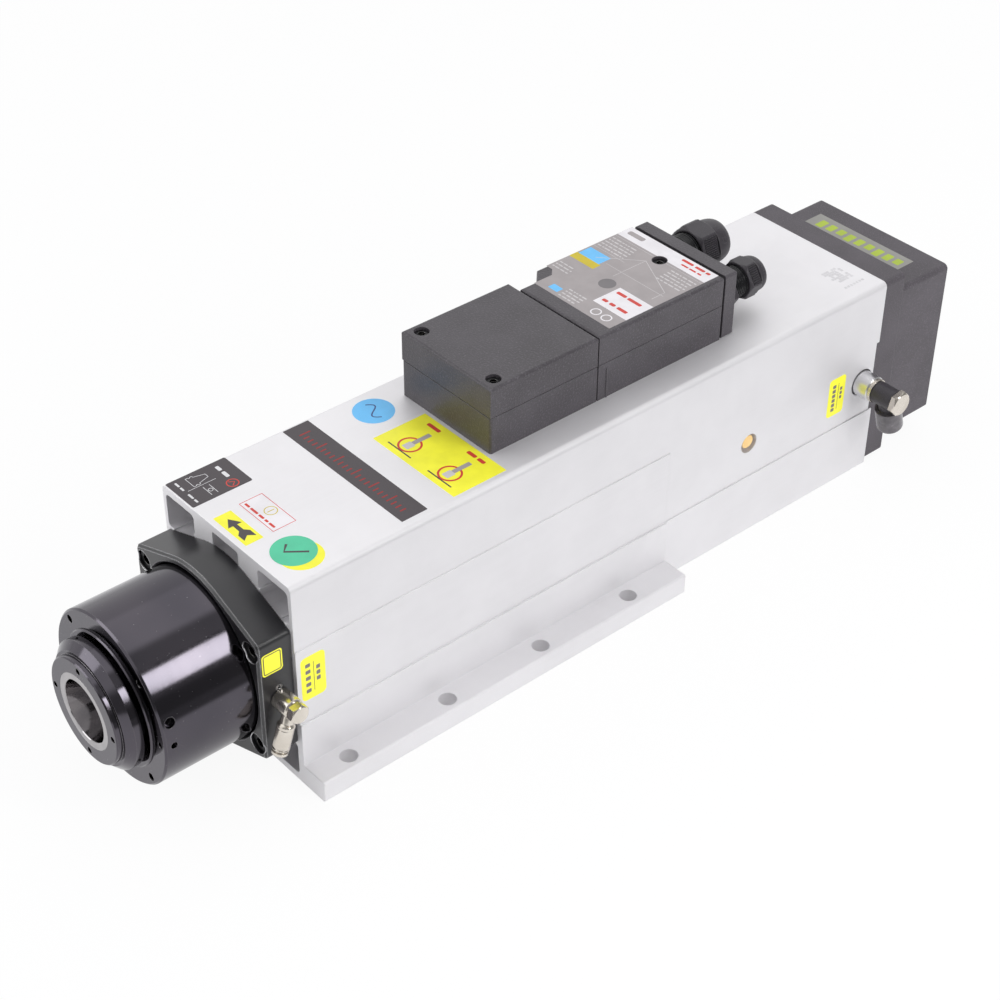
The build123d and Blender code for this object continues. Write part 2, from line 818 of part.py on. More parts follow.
with BuildPart() as stator_windings:
    for end in (stator_y - winding_overhang, stator_y + stator_length):
        revolve(turned([
            (end, winding_inner_radius + winding_round),
            (end, winding_outer_radius - winding_round),
            (end + winding_round, winding_outer_radius),
            (end + winding_overhang - winding_round, winding_outer_radius),
            (end + winding_overhang, winding_outer_radius - winding_round),
            (end + winding_overhang, winding_inner_radius + winding_round),
            (end + winding_overhang - winding_round, winding_inner_radius),
            (end + winding_round, winding_inner_radius),
        ]), axis=spindle_axis)
stator_windings.part.label = "stator_windings"
export_step(stator_windings.part, "parts/stator_windings.step")

with BuildPart() as rotor_core:
    revolve(ring(stator_y, stator_y + stator_length, rotor_radius, shaft_rotor_radius), axis=spindle_axis)
    for end in (stator_y - rotor_end_ring, stator_y + stator_length):
        revolve(ring(end, end + rotor_end_ring, rotor_radius - rotor_ring_step, shaft_rotor_radius),
                axis=spindle_axis)
rotor_core.part.label = "rotor_core"
export_step(rotor_core.part, "parts/rotor_core.step")


# Tool clamp: drawbar, gripper fingers, disc springs and the nut that holds them
finger_start = groove_front + clamp_stroke + finger_front_gap
finger_end = finger_start + finger_length
drawbar_end = shaft_rear + drawbar_overhang
hook_start = finger_end - drawbar_hook
neck_end = hook_start + drawbar_neck
with BuildPart() as drawbar:
    revolve(turned([
        (hook_start, 0),
        (hook_start, drawbar_neck_radius),
        (neck_end, drawbar_neck_radius),
        (neck_end, drawbar_radius),
        (drawbar_end, drawbar_radius),
        (drawbar_end, 0),
    ]), axis=spindle_axis)
drawbar.part.label = "drawbar"
export_step(drawbar.part, "parts/drawbar.step")

with BuildPart() as gripper_fingers:
    revolve(turned([
        (finger_start, stud_head_radius - stud_grip),
        (finger_start, gripper_bore_radius - body_gap),
        (finger_end, gripper_bore_radius - body_gap),
        (finger_end, drawbar_radius + running_gap),
        (neck_end - running_gap, drawbar_radius + running_gap),
        (neck_end - running_gap, drawbar_neck_radius + running_gap),
        (hook_start, drawbar_neck_radius + running_gap),
        (hook_start, stud_head_radius + stud_room),
        (finger_start + stud_grip_length, stud_head_radius + stud_room),
    ]), axis=spindle_axis)
    with BuildSketch(axis_plane(finger_start)):
        with PolarLocations(0, finger_count // 2, 0, 180):
            Rectangle(2 * (gripper_bore_radius + cut_past), finger_slot)
    extrude(amount=-finger_length, mode=Mode.SUBTRACT)
gripper_fingers.part.label = "gripper_fingers"
export_step(gripper_fingers.part, "parts/gripper_fingers.step")

disc_pitch = spring_stack_length / disc_pairs
with BuildPart() as disc_springs:
    for pair in range(disc_pairs):
        base = spring_seat + pair * disc_pitch
        crest = base + disc_pitch / 2
        revolve(turned([
            (base, disc_inner_radius),
            (crest - disc_pack, disc_outer_radius),
            (crest + disc_pack, disc_outer_radius),
            (base + disc_pitch, disc_inner_radius),
            (base + disc_pitch - disc_pack, disc_inner_radius),
            (crest, disc_outer_radius - disc_join),
            (base + disc_pack, disc_inner_radius),
        ]), axis=spindle_axis)
    stack_end = spring_seat + spring_stack_length
disc_springs.part.label = "disc_springs"
export_step(disc_springs.part, "parts/disc_springs.step")

with BuildPart() as drawbar_nut:
    revolve(ring(stack_end, stack_end + drawbar_nut_length, spring_bore_radius - body_gap,
                 drawbar_radius + running_gap), axis=spindle_axis)
drawbar_nut.part.label = "drawbar_nut"
export_step(drawbar_nut.part, "parts/drawbar_nut.step")


# Tool release cylinder: barrel, cap, piston with its seals, and a return spring
cylinder_y = rear_y - cylinder_length
cap_y = rear_y - cylinder_cap_length
piston_rear = cap_y - piston_chamber
piston_front = piston_rear - piston_thickness
spring_start = cylinder_y + cylinder_front_wall
with BuildPart() as cylinder_barrel:
    revolve(turned([
        (cylinder_y, piston_rod_radius + running_gap),
        (cylinder_y, tube_bore_radius - spigot_clearance),
        (rear_y, tube_bore_radius - spigot_clearance),
        (rear_y, cylinder_bore_radius),
        (spring_start, cylinder_bore_radius),
        (spring_start, piston_rod_radius + running_gap),
    ]), axis=spindle_axis)
    with BuildSketch(side_plane(half_width, cap_y - piston_chamber / 2, axis_z)):
        Circle(port_bore_radius)
    extrude(amount=-half_width, mode=Mode.SUBTRACT)
    with BuildSketch(side_plane(half_width, rear_port_y, axis_z)):
        Circle(sleeve_recess_radius)
    extrude(amount=-(half_width - sleeve_seat_x), mode=Mode.SUBTRACT)
    with BuildSketch(axis_plane(cylinder_y)):
        with Locations((0, sensor_offset)):
            Circle(sensor_radius)
    extrude(amount=-sensor_seat, mode=Mode.SUBTRACT)
cylinder_barrel.part.label = "cylinder_barrel"
export_step(cylinder_barrel.part, "parts/cylinder_barrel.step")

with BuildPart() as cylinder_cap:
    revolve(ring(cap_y, rear_y, cylinder_bore_radius - running_gap, 0), axis=spindle_axis)
cylinder_cap.part.label = "cylinder_cap"
export_step(cylinder_cap.part, "parts/cylinder_cap.step")

groove_places = [piston_front + piston_thickness * share for share in piston_groove_shares]
with BuildPart() as piston:
    revolve(turned([
        (drawbar_end + release_gap, 0),
        (drawbar_end + release_gap, piston_rod_radius),
        (piston_front, piston_rod_radius),
        (piston_front, cylinder_bore_radius - running_gap),
        (piston_rear, cylinder_bore_radius - running_gap),
        (piston_rear, 0),
    ]), axis=spindle_axis)
    for place in groove_places:
        revolve(ring(place - piston_groove_width / 2, place + piston_groove_width / 2,
                     cylinder_bore_radius + cut_past, cylinder_bore_radius - piston_groove_depth),
                axis=spindle_axis, mode=Mode.SUBTRACT)
piston.part.label = "piston"
export_step(piston.part, "parts/piston.step")

with BuildPart() as piston_seals:
    for place in groove_places:
        revolve(ring(place - piston_groove_width / 2, place + piston_groove_width / 2,
                     cylinder_bore_radius - running_gap, cylinder_bore_radius - piston_groove_depth),
                axis=spindle_axis)
piston_seals.part.label = "piston_seals"
export_step(piston_seals.part, "parts/piston_seals.step")

coil_length = piston_front - spring_start
with BuildPart() as return_spring:
    wire_travel = coil_length - return_spring_wire
    coil = Helix(pitch=wire_travel / return_spring_turns, height=wire_travel, radius=return_spring_radius,
                 center=(0, spring_start + return_spring_wire / 2, axis_z), direction=(0, 1, 0))
    with BuildSketch(Plane(origin=coil @ 0, z_dir=coil % 0)) as wire:
        Circle(return_spring_wire / 2)
    sweep(wire.sketch, path=coil, is_frenet=True)
return_spring.part.label = "return_spring"
export_step(return_spring.part, "parts/return_spring.step")

# Drawbar position sensor, seated in the cylinder's front wall and facing a collar on the drawbar
collar_rear = drawbar_end - target_setback
with BuildPart() as target_collar:
    revolve(ring(collar_rear - collar_length, collar_rear, sensor_offset + sensor_radius,
                 drawbar_radius + running_gap), axis=spindle_axis)
target_collar.part.label = "target_collar"
export_step(target_collar.part, "parts/target_collar.step")

with BuildPart() as position_sensor:
    with BuildSketch(axis_plane(collar_rear + sensor_distance)):
        with Locations((0, sensor_offset)):
            Circle(sensor_radius)
    extrude(amount=-(cylinder_y + sensor_seat - collar_rear - sensor_distance))
    with BuildSketch(axis_plane(cylinder_y - sensor_nut_height)):
        with Locations((0, sensor_offset)):
            RegularPolygon(sensor_radius + sensor_nut_wall, 6)
    extrude(amount=-sensor_nut_height)
position_sensor.part.label = "position_sensor"
export_step(position_sensor.part, "parts/position_sensor.step")


# Rear cover plate: closes the body, lets the fan's air into the corner channels
cover_y = rear_y
cover_rear = rear_y + cover_thickness
cover_centre_z = (body_height + cover_bottom) / 2
cavity_height = body_height - 2 * cover_cavity_margin
with BuildPart() as rear_cover:
    with BuildSketch(section_plane(cover_y)):
        with Locations((0, cover_centre_z)):
            RectangleRounded(body_width, body_height - cover_bottom, cover_edge_radius)
    extrude(amount=-cover_thickness)
    for side in (-1, 1):
        with BuildSketch(section_plane(cover_y)):
            with Locations((side * (half_width - cover_lug_width / 2), cover_lug_z)):
                Rectangle(cover_lug_width, cover_lug_top - cover_lug_bottom - 2 * spigot_clearance)
        extrude(amount=cover_lug_depth - spigot_clearance)
    with BuildSketch(axis_plane(cover_y + cover_web)):
        RectangleRounded(cover_cavity, cavity_height, cover_edge_radius)
        with GridLocations(2 * flange_screw_x, 2 * flange_screw_z, 2, 2):
            Circle(head_recess_radius)
    extrude(amount=-(cover_thickness - cover_web), mode=Mode.SUBTRACT)
    window_width = cover_cavity / 2 - pocket_inner_x - 2 * window_inset
    window_height = cavity_height / 2 - pocket_level + corner_pocket_height / 2 - 2 * window_inset
    with BuildSketch(axis_plane(cover_y)):
        for side in (-1, 1):
            for level in (-1, 1):
                with Locations((side * (pocket_inner_x + window_width / 2 + window_inset),
                                level * (cavity_height / 2 - window_height / 2 - window_inset))):
                    RectangleRounded(window_width, window_height, window_radius)
        with GridLocations(2 * flange_screw_x, 2 * flange_screw_z, 2, 2):
            Circle(flange_screw_radius + spigot_clearance)
    extrude(amount=-cover_web, mode=Mode.SUBTRACT)
rear_cover.part.label = "rear_cover"
export_step(rear_cover.part, "parts/rear_cover.step")

cover_screw = socket_screw(flange_screw_radius - running_gap, cover_web + cover_screw_grip,
                           screw_head_radius, screw_head_height)
with BuildPart() as cover_screws:
    for x in (-flange_screw_x, flange_screw_x):
        for z in (-flange_screw_z, flange_screw_z):
            with Locations(corner_plane(cover_y + cover_web, x, z, 1)):
                add(cover_screw.part)
cover_screws.part.label = "cover_screws"
export_step(cover_screws.part, "parts/cover_screws.step")


# Fan: shroud, frame with its motor base, impeller, guard and four screws
with BuildPart() as fan_housing:
    with BuildSketch(axis_plane(cover_rear)):
        RectangleRounded(fan_square, fan_square, fan_edge_radius)
        inner_square = fan_square - 2 * fan_wall
        RectangleRounded(inner_square, inner_square, fan_edge_radius - fan_wall, mode=Mode.SUBTRACT)
    extrude(amount=-(fan_frame_depth + guard_thickness))
fan_housing.part.label = "fan_housing"
export_step(fan_housing.part, "parts/fan_housing.step")

fan_bearing_radius = fan_axle_radius + running_gap
with BuildPart() as fan_frame:
    with BuildSketch(axis_plane(cover_rear)):
        RectangleRounded(fan_frame_square, fan_frame_square, fan_edge_radius - fan_wall)
        Circle(fan_bore_radius, mode=Mode.SUBTRACT)
    extrude(amount=-fan_frame_depth)
    with BuildSketch(axis_plane(cover_rear)):
        Circle(fan_hub_radius)
        for turn in (45, 135):
            Rectangle(2 * (fan_bore_radius + cut_past), fan_strut_width, rotation=turn)
    extrude(amount=-fan_base_depth)
    with BuildSketch(axis_plane(cover_rear)):
        Circle(fan_bearing_radius)
        with GridLocations(fan_screw_spread, fan_screw_spread, 2, 2):
            Circle(fan_screw_radius + running_gap)
    extrude(amount=-fan_frame_depth, mode=Mode.SUBTRACT)
fan_frame.part.label = "fan_frame"
export_step(fan_frame.part, "parts/fan_frame.step")

impeller_y = cover_rear + fan_base_depth + fan_axial_gap
impeller_length = fan_frame_depth - fan_base_depth - 2 * fan_axial_gap
blade_root = fan_hub_radius - blade_root_depth
blade_tip = fan_bore_radius - fan_tip_gap
blade_ends = [
    (blade_root, blade_root_angle, blade_root_chord),
    (fan_bore_radius, blade_tip_angle, blade_tip_chord),
]
with BuildPart() as fan_impeller:
    with BuildSketch(axis_plane(impeller_y)):
        Circle(fan_hub_radius)
    extrude(amount=-impeller_length)
    fillet(fan_impeller.faces().sort_by(Axis.Y)[-1].edges(), fan_hub_round)
    with BuildSketch(axis_plane(impeller_y)):
        Circle(fan_axle_radius)
    extrude(amount=fan_base_depth)
    blade_y = impeller_y + impeller_length / 2
    for blade in range(fan_blade_count):
        spread = math.radians(blade * 360 / fan_blade_count)
        outward = Vector(math.cos(spread), 0, math.sin(spread))
        sections = []
        for reach, pitch_angle, chord in blade_ends:
            centre = Vector(0, blade_y, axis_z) + outward * reach
            with BuildSketch(Plane(origin=centre, x_dir=(0, 1, 0), z_dir=outward)) as blade_section:
                Rectangle(chord, fan_blade_thickness, rotation=90 - pitch_angle)
            sections.append(blade_section.sketch)
        loft(sections)
    with BuildSketch(axis_plane(impeller_y - fan_base_depth)):
        Circle(blade_tip)
    extrude(amount=-(impeller_length + fan_base_depth), mode=Mode.INTERSECT)
fan_impeller.part.label = "fan_impeller"
export_step(fan_impeller.part, "parts/fan_impeller.step")

guard_y = cover_rear + fan_frame_depth
with BuildPart() as fan_guard:
    with BuildSketch(axis_plane(guard_y)):
        RectangleRounded(fan_frame_square, fan_frame_square, fan_edge_radius - fan_wall)
        Circle(fan_bore_radius, mode=Mode.SUBTRACT)
        Circle(fan_hub_radius)
        for step in range(1, guard_rings + 1):
            middle = fan_hub_radius + step * (fan_bore_radius - fan_hub_radius) / (guard_rings + 1)
            with BuildSketch(mode=Mode.PRIVATE) as guard_ring:
                Circle(middle + guard_bar / 2)
                Circle(middle - guard_bar / 2, mode=Mode.SUBTRACT)
            add(guard_ring.sketch)
        for turn in (0, 45, 90, 135):
            Rectangle(2 * (fan_bore_radius + cut_past), guard_bar, rotation=turn)
        with GridLocations(fan_screw_spread, fan_screw_spread, 2, 2):
            Circle(fan_screw_radius + running_gap, mode=Mode.SUBTRACT)
    extrude(amount=-guard_thickness)
fan_guard.part.label = "fan_guard"
export_step(fan_guard.part, "parts/fan_guard.step")

fan_screw = socket_screw(fan_screw_radius, fan_frame_depth + guard_thickness - thread_end_gap,
                         fan_head_radius, fan_head_height)
with BuildPart() as fan_screws:
    for x in (-fan_screw_spread / 2, fan_screw_spread / 2):
        for z in (-fan_screw_spread / 2, fan_screw_spread / 2):
            with Locations(corner_plane(guard_y + guard_thickness, x, z, 1)):
                add(fan_screw.part)
fan_screws.part.label = "fan_screws"
export_step(fan_screws.part, "parts/fan_screws.step")


# Connector box: base, two lids, gasket, end plate, terminal block and lid screws
box_half = box_width / 2
box_top = body_height + box_height
box_seam = body_height + base_height
box_left = box_centre_x - box_half
box_front_y = front_y + box_front
split_y = front_y + lid_split
box_rear_y = front_y + box_rear
gasket_y = box_rear_y
end_plate_y = box_rear_y + end_plate_gap


def box_outline(start, end, inset, notched):
    """Outline of the box between two places along Y, drawn in by inset, with its notch if asked."""
    left = box_left + inset
    right = box_centre_x + box_half - inset
    if not notched:
        return [(left, start), (right, start), (right, end), (left, end)]
    inner = left + lid_notch_width
    return [
        (inner, start), (right, start), (right, end), (left, end),
        (left, split_y + lid_notch_length + lid_notch_slope + inset),
        (inner, split_y + lid_notch_length + inset),
    ]


def box_sketch(height, start, end, inset, notched=False):
    """The outline as a closed sketch at a height."""
    with BuildSketch(Plane.XY.offset(height)) as outline:
        with BuildLine():
            Polyline(*box_outline(start, end, inset, notched), close=True)
        make_face()
    return outline.sketch


front_screw_places = [
    (box_left + lid_screw_inset_x, box_front_y + lid_screw_front),
    (box_centre_x + box_half - lid_screw_inset_x, box_front_y + lid_screw_front),
]
rear_screw_places = [(box_centre_x, box_rear_y - lid_screw_rear)]
lid_screw_places = front_screw_places + rear_screw_places
lid_base_z = box_seam + seam_gap
lid_height = box_top - lid_base_z
boss_radius = lid_recess_radius + lid_boss_wall
screw_seat_z = box_top - lid_recess_depth

with BuildPart() as box_base:
    extrude(box_sketch(body_height, box_front_y, box_rear_y, 0), amount=box_seam - body_height)
    front_edges = box_base.edges().filter_by(Axis.Z).group_by(Axis.Y)[0]
    fillet(front_edges, box_edge)
    extrude(box_sketch(body_height + box_wall, box_front_y + box_wall, box_rear_y + cut_past, box_wall),
            amount=box_seam - body_height, mode=Mode.SUBTRACT)
    with BuildSketch(Plane.XY.offset(body_height + box_wall)):
        with Locations(*lid_screw_places):
            Circle(boss_radius)
    extrude(amount=box_seam - body_height - box_wall)
    with BuildSketch(Plane.XY.offset(box_seam)):
        with Locations(*lid_screw_places):
            Circle(lid_screw_radius)
    extrude(amount=-(box_seam - body_height - box_wall), mode=Mode.SUBTRACT)
    with BuildSketch(Plane.XY.offset(box_seam)):
        with Locations((box_centre_x, split_y)):
            with GridLocations(box_width, 0, 2, 1):
                Rectangle(2 * seam_depth, split_gap)
    extrude(amount=-base_height, mode=Mode.SUBTRACT)
    with BuildSketch(Plane.XY.offset(body_height)):
        with Locations((box_centre_x, split_y + base_rib_offset)):
            with GridLocations(box_width, 0, 2, 1):
                Rectangle(2 * base_rib_proud, base_rib_width)
    extrude(amount=base_rib_height)
box_base.part.label = "box_base"
export_step(box_base.part, "parts/box_base.step")


def lid(start, end, open_rear, screw_places, notched):
    """Shell lid with rounded edges, screw bosses and recessed seats."""
    with BuildPart() as shell:
        extrude(box_sketch(lid_base_z, start, end, 0, notched), amount=lid_height)
        fillet(shell.faces().sort_by(Axis.Z)[-1].edges(), box_edge)
        inner_end = end + cut_past if open_rear else end - box_wall
        extrude(box_sketch(lid_base_z, start + box_wall, inner_end, box_wall, notched),
                amount=lid_height - box_wall, mode=Mode.SUBTRACT)
        with BuildSketch(Plane.XY.offset(lid_base_z)):
            with Locations(*screw_places):
                Circle(boss_radius)
        extrude(amount=lid_height - box_wall)
        with BuildSketch(Plane.XY.offset(box_top)):
            with Locations(*screw_places):
                Circle(lid_recess_radius)
        extrude(amount=-lid_recess_depth, mode=Mode.SUBTRACT)
        with BuildSketch(Plane.XY.offset(box_top)):
            with Locations(*screw_places):
                Circle(lid_screw_radius + running_gap)
        extrude(amount=-lid_height, mode=Mode.SUBTRACT)
    return shell


front_lid = lid(box_front_y, split_y - split_gap / 2, False, front_screw_places, False)
front_lid.part.label = "front_lid"
export_step(front_lid.part, "parts/front_lid.step")

rear_lid = lid(split_y + split_gap / 2, box_rear_y, True, rear_screw_places, True)
rear_lid.part.label = "rear_lid"
export_step(rear_lid.part, "parts/rear_lid.step")

lid_grip = screw_seat_z - box_seam + lid_screw_grip
lid_screw = socket_screw(lid_screw_radius - running_gap, lid_grip, lid_head_radius, lid_head_height)
with BuildPart() as lid_screws:
    for x, y in lid_screw_places:
        with Locations((x, y, screw_seat_z)):
            add(lid_screw.part)
lid_screws.part.label = "lid_screws"
export_step(lid_screws.part, "parts/lid_screws.step")

gland_places = [
    (large_gland_x, large_thread_radius),
    (small_gland_x, small_thread_radius),
]
box_middle_z = (body_height + box_top) / 2
gland_axis_z = body_height + gland_height


def end_sketch(y, inset, radius):
    with BuildSketch(section_plane(y)) as panel:
        with Locations((box_centre_x, box_middle_z)):
            RectangleRounded(box_width - 2 * inset, box_top - body_height - 2 * inset, radius)
        for x, thread in gland_places:
            with Locations((x, gland_axis_z)):
                Circle(thread + running_gap, mode=Mode.SUBTRACT)
    return panel.sketch


with BuildPart() as end_gasket:
    extrude(end_sketch(gasket_y, gasket_inset, box_edge), amount=-end_plate_gap)
end_gasket.part.label = "end_gasket"
export_step(end_gasket.part, "parts/end_gasket.step")

with BuildPart() as end_plate:
    extrude(end_sketch(end_plate_y, 0, box_edge), amount=-end_plate_thickness)
    plate_rim = end_plate.faces().sort_by(Axis.Y)[-1].outer_wire().edges()
    chamfer(plate_rim, small_bevel)
end_plate.part.label = "end_plate"
export_step(end_plate.part, "parts/end_plate.step")

with BuildPart() as terminal_block:
    block_y = (split_y + box_rear_y) / 2
    with BuildSketch(Plane.XY.offset(body_height + box_wall)):
        with Locations((box_centre_x, block_y)):
            Rectangle(terminal_width, terminal_depth)
    extrude(amount=terminal_height)
    with BuildSketch(Plane.XY.offset(body_height + box_wall + terminal_height)):
        with Locations((box_centre_x, block_y)):
            with GridLocations(terminal_width / terminal_ways, terminal_depth / 2, terminal_ways, 2):
                Circle(terminal_screw_radius)
    extrude(amount=-terminal_height / 2, mode=Mode.SUBTRACT)
terminal_block.part.label = "terminal_block"
export_step(terminal_block.part, "parts/terminal_block.step")


# Cable glands: body with hex flange and thread, domed nut, rubber seal
plate_rear = end_plate_y + end_plate_thickness


def gland_profile(x, points):
    """Half profile of a turned gland piece at its own axis."""
    with BuildSketch(side_plane(x, plate_rear, gland_axis_z)) as profile:
        with BuildLine():
            Polyline(*points, close=True)
        make_face()
    return profile.sketch


def gland_body(x, thread, flats, bore):
    """Threaded sleeve with a hexagon flange against the end plate."""
    axis = Axis((x, 0, gland_axis_z), (0, 1, 0))
    with BuildPart() as body:
        revolve(gland_profile(x, [
            (-end_plate_thickness - gland_shank, bore),
            (-end_plate_thickness - gland_shank, thread),
            (gland_thread_length, thread),
            (gland_thread_length, bore),
        ]), axis=axis)
        with BuildSketch(Plane(origin=(x, plate_rear, gland_axis_z), x_dir=(1, 0, 0), z_dir=(0, -1, 0))):
            RegularPolygon(flats / 2, 6, major_radius=False)
            Circle(bore, mode=Mode.SUBTRACT)
        extrude(amount=-gland_flange_height)
    return body


def gland_nut(x, thread, flats, bore, start, length):
    """Domed nut over the sleeve's thread."""
    axis = Axis((x, 0, gland_axis_z), (0, 1, 0))
    corner = flats / math.sqrt(3)
    dome = flats * gland_dome_share
    with BuildPart() as nut:
        with BuildSketch(side_plane(x, plate_rear, gland_axis_z)) as profile:
            with BuildLine():
                dome_start = (length - dome, corner)
                dome_middle = (length - dome * dome_middle_back, corner - dome * dome_middle_drop)
                dome_end = (length, bore + dome_mouth_wall)
                Polyline((start, bore), (start, corner - nut_bevel), (start + nut_bevel, corner), dome_start)
                ThreePointArc(dome_start, dome_middle, dome_end)
                Polyline(dome_end, (length, bore), (start, bore))
            make_face()
        revolve(axis=axis)
        with BuildSketch(Plane(origin=(x, plate_rear, gland_axis_z), x_dir=(1, 0, 0), z_dir=(0, -1, 0))):
            RegularPolygon(flats / 2, 6, major_radius=False)
        extrude(amount=-length - cut_past, mode=Mode.INTERSECT)
        revolve(gland_profile(x, [
            (start - cut_past, 0),
            (start - cut_past, thread + running_gap),
            (length - dome, thread + running_gap),
            (length - dome, 0),
        ]), axis=axis, mode=Mode.SUBTRACT)
    return nut


def gland_seal(x, thread, bore, length, flats):
    """Rubber ring between the sleeve and the nut's dome, round the cable."""
    axis = Axis((x, 0, gland_axis_z), (0, 1, 0))
    seal_end = length - flats * gland_dome_share
    with BuildPart() as seal:
        revolve(gland_profile(x, [
            (gland_thread_length, bore),
            (gland_thread_length, thread - seal_inset),
            (seal_end, thread - seal_inset),
            (seal_end, bore),
        ]), axis=axis)
    return seal


large_gland_body = gland_body(large_gland_x, large_thread_radius, large_nut_flats, large_cable_radius)
large_gland_body.part.label = "large_gland_body"
export_step(large_gland_body.part, "parts/large_gland_body.step")

large_gland_nut = gland_nut(large_gland_x, large_thread_radius, large_nut_flats, large_cable_radius,
                            large_nut_start, large_gland_length)
large_gland_nut.part.label = "large_gland_nut"
export_step(large_gland_nut.part, "parts/large_gland_nut.step")

large_gland_seal = gland_seal(large_gland_x, large_thread_radius, large_cable_radius, large_gland_length,
                              large_nut_flats)
large_gland_seal.part.label = "large_gland_seal"
export_step(large_gland_seal.part, "parts/large_gland_seal.step")

small_gland_body = gland_body(small_gland_x, small_thread_radius, small_nut_flats, small_cable_radius)
small_gland_body.part.label = "small_gland_body"
export_step(small_gland_body.part, "parts/small_gland_body.step")

small_gland_nut = gland_nut(small_gland_x, small_thread_radius, small_nut_flats, small_cable_radius,
                            small_nut_start, small_gland_length)
small_gland_nut.part.label = "small_gland_nut"
export_step(small_gland_nut.part, "parts/small_gland_nut.step")

small_gland_seal = gland_seal(small_gland_x, small_thread_radius, small_cable_radius, small_gland_length,
                              small_nut_flats)
small_gland_seal.part.label = "small_gland_seal"
export_step(small_gland_seal.part, "parts/small_gland_seal.step")


# Air fittings: a bolt holds each elbow, which swivels on it; a collar in its barrel releases the hose
def barrel_plane(x, port_y, port_z, tilt, reach):
    """Plane across an elbow's barrel at a distance from the port's axis, facing out of the barrel."""
    turn = math.radians(tilt)
    outward = Vector(0, -math.sin(turn), -math.cos(turn))
    origin = Vector(x, port_y, port_z) + outward * reach
    return Plane(origin=origin, x_dir=(1, 0, 0), z_dir=outward)


def elbow(x_start, barrel_x, port_y, port_z, tilt, ring_radius, ring_length, bolt_radius, neck_radius,
          barrel_radius, barrel_start, barrel_length, tube_radius, collar_radius):
    """Swivel ring on the port's axis, with a neck and a barrel that takes the hose."""
    barrel_end = barrel_start + barrel_length
    with BuildPart() as fitting:
        with BuildSketch(side_plane(x_start, port_y, port_z)):
            Circle(ring_radius)
        extrude(amount=ring_length)
        chamfer(fitting.edges().filter_by(GeomType.CIRCLE).sort_by(Axis.X)[-1], small_bevel)
        with BuildSketch(barrel_plane(barrel_x, port_y, port_z, tilt, 0)):
            Circle(neck_radius)
        extrude(amount=barrel_start + cut_past)
        with BuildSketch(barrel_plane(barrel_x, port_y, port_z, tilt, barrel_start)):
            Circle(barrel_radius)
        extrude(amount=barrel_length)
        with BuildSketch(barrel_plane(barrel_x, port_y, port_z, tilt, bolt_radius + cut_past)):
            Circle(tube_radius)
        extrude(amount=barrel_end, mode=Mode.SUBTRACT)
        with BuildSketch(barrel_plane(barrel_x, port_y, port_z, tilt, barrel_end)):
            Circle(collar_radius + running_gap)
        extrude(amount=-collar_depth, mode=Mode.SUBTRACT)
        with BuildSketch(side_plane(x_start, port_y, port_z)):
            Circle(bolt_radius + running_gap)
        extrude(amount=ring_length, mode=Mode.SUBTRACT)
    return fitting


def release_collar(x, port_y, port_z, tilt, barrel_end, tube_radius, collar_radius, flange_radius):
    """Sleeve in the barrel's mouth with a flange that is pressed in to free the hose."""
    with BuildPart() as collar:
        with BuildSketch(barrel_plane(x, port_y, port_z, tilt, barrel_end + collar_gap)):
            Circle(flange_radius)
        extrude(amount=collar_flange)
        with BuildSketch(barrel_plane(x, port_y, port_z, tilt, barrel_end + collar_gap)):
            Circle(collar_radius)
        extrude(amount=-(collar_depth - collar_travel))
        with BuildSketch(barrel_plane(x, port_y, port_z, tilt, barrel_end + collar_gap + collar_flange)):
            Circle(tube_radius)
        extrude(amount=-(collar_depth + collar_flange), mode=Mode.SUBTRACT)
    return collar


def port_bolt(x_seat, port_y, port_z, hex_size, hex_height, shank_radius, shank_length):
    """Hollow bolt along X that holds an elbow, with its head outside."""
    with BuildPart() as bolt:
        with BuildSketch(side_plane(x_seat, port_y, port_z)):
            RegularPolygon(hex_size / 2, 6, major_radius=False, rotation=port_hex_turn)
        extrude(amount=hex_height)
        with Locations(side_plane(x_seat, port_y, port_z)):
            Cone(hex_size * hex_face_share / 2 + hex_height, hex_size * hex_face_share / 2, hex_height,
                 align=(Align.CENTER, Align.CENTER, Align.MIN), mode=Mode.INTERSECT)
        with BuildSketch(side_plane(x_seat, port_y, port_z)):
            Circle(shank_radius)
        extrude(amount=-shank_length)
    return bolt


front_ring_x = flange_width / 2 + swivel_gap
front_bolt_seat = front_ring_x + front_ring_length + swivel_gap
front_barrel_x = front_ring_x + front_barrel_offset
front_barrel_end = front_barrel_start + front_barrel_length
front_bolt_length = front_ring_length + 2 * swivel_gap + front_shank_depth
front_port_bolt = port_bolt(front_bolt_seat, front_port_y, front_port_z, front_hex, front_hex_height,
                            front_shank_radius, front_bolt_length)
front_port_bolt.part.label = "front_port_bolt"
export_step(front_port_bolt.part, "parts/front_port_bolt.step")

front_elbow = elbow(front_ring_x, front_barrel_x, front_port_y, front_port_z, front_elbow_tilt,
                    front_ring_radius, front_ring_length, front_shank_radius, front_neck_radius,
                    front_barrel_radius, front_barrel_start, front_barrel_length, front_tube_radius,
                    front_collar_radius)
front_elbow.part.label = "front_elbow"
export_step(front_elbow.part, "parts/front_elbow.step")

front_release_collar = release_collar(front_barrel_x, front_port_y, front_port_z, front_elbow_tilt,
                                      front_barrel_end, front_tube_radius, front_collar_radius,
                                      front_collar_flange)
front_release_collar.part.label = "front_release_collar"
export_step(front_release_collar.part, "parts/front_release_collar.step")

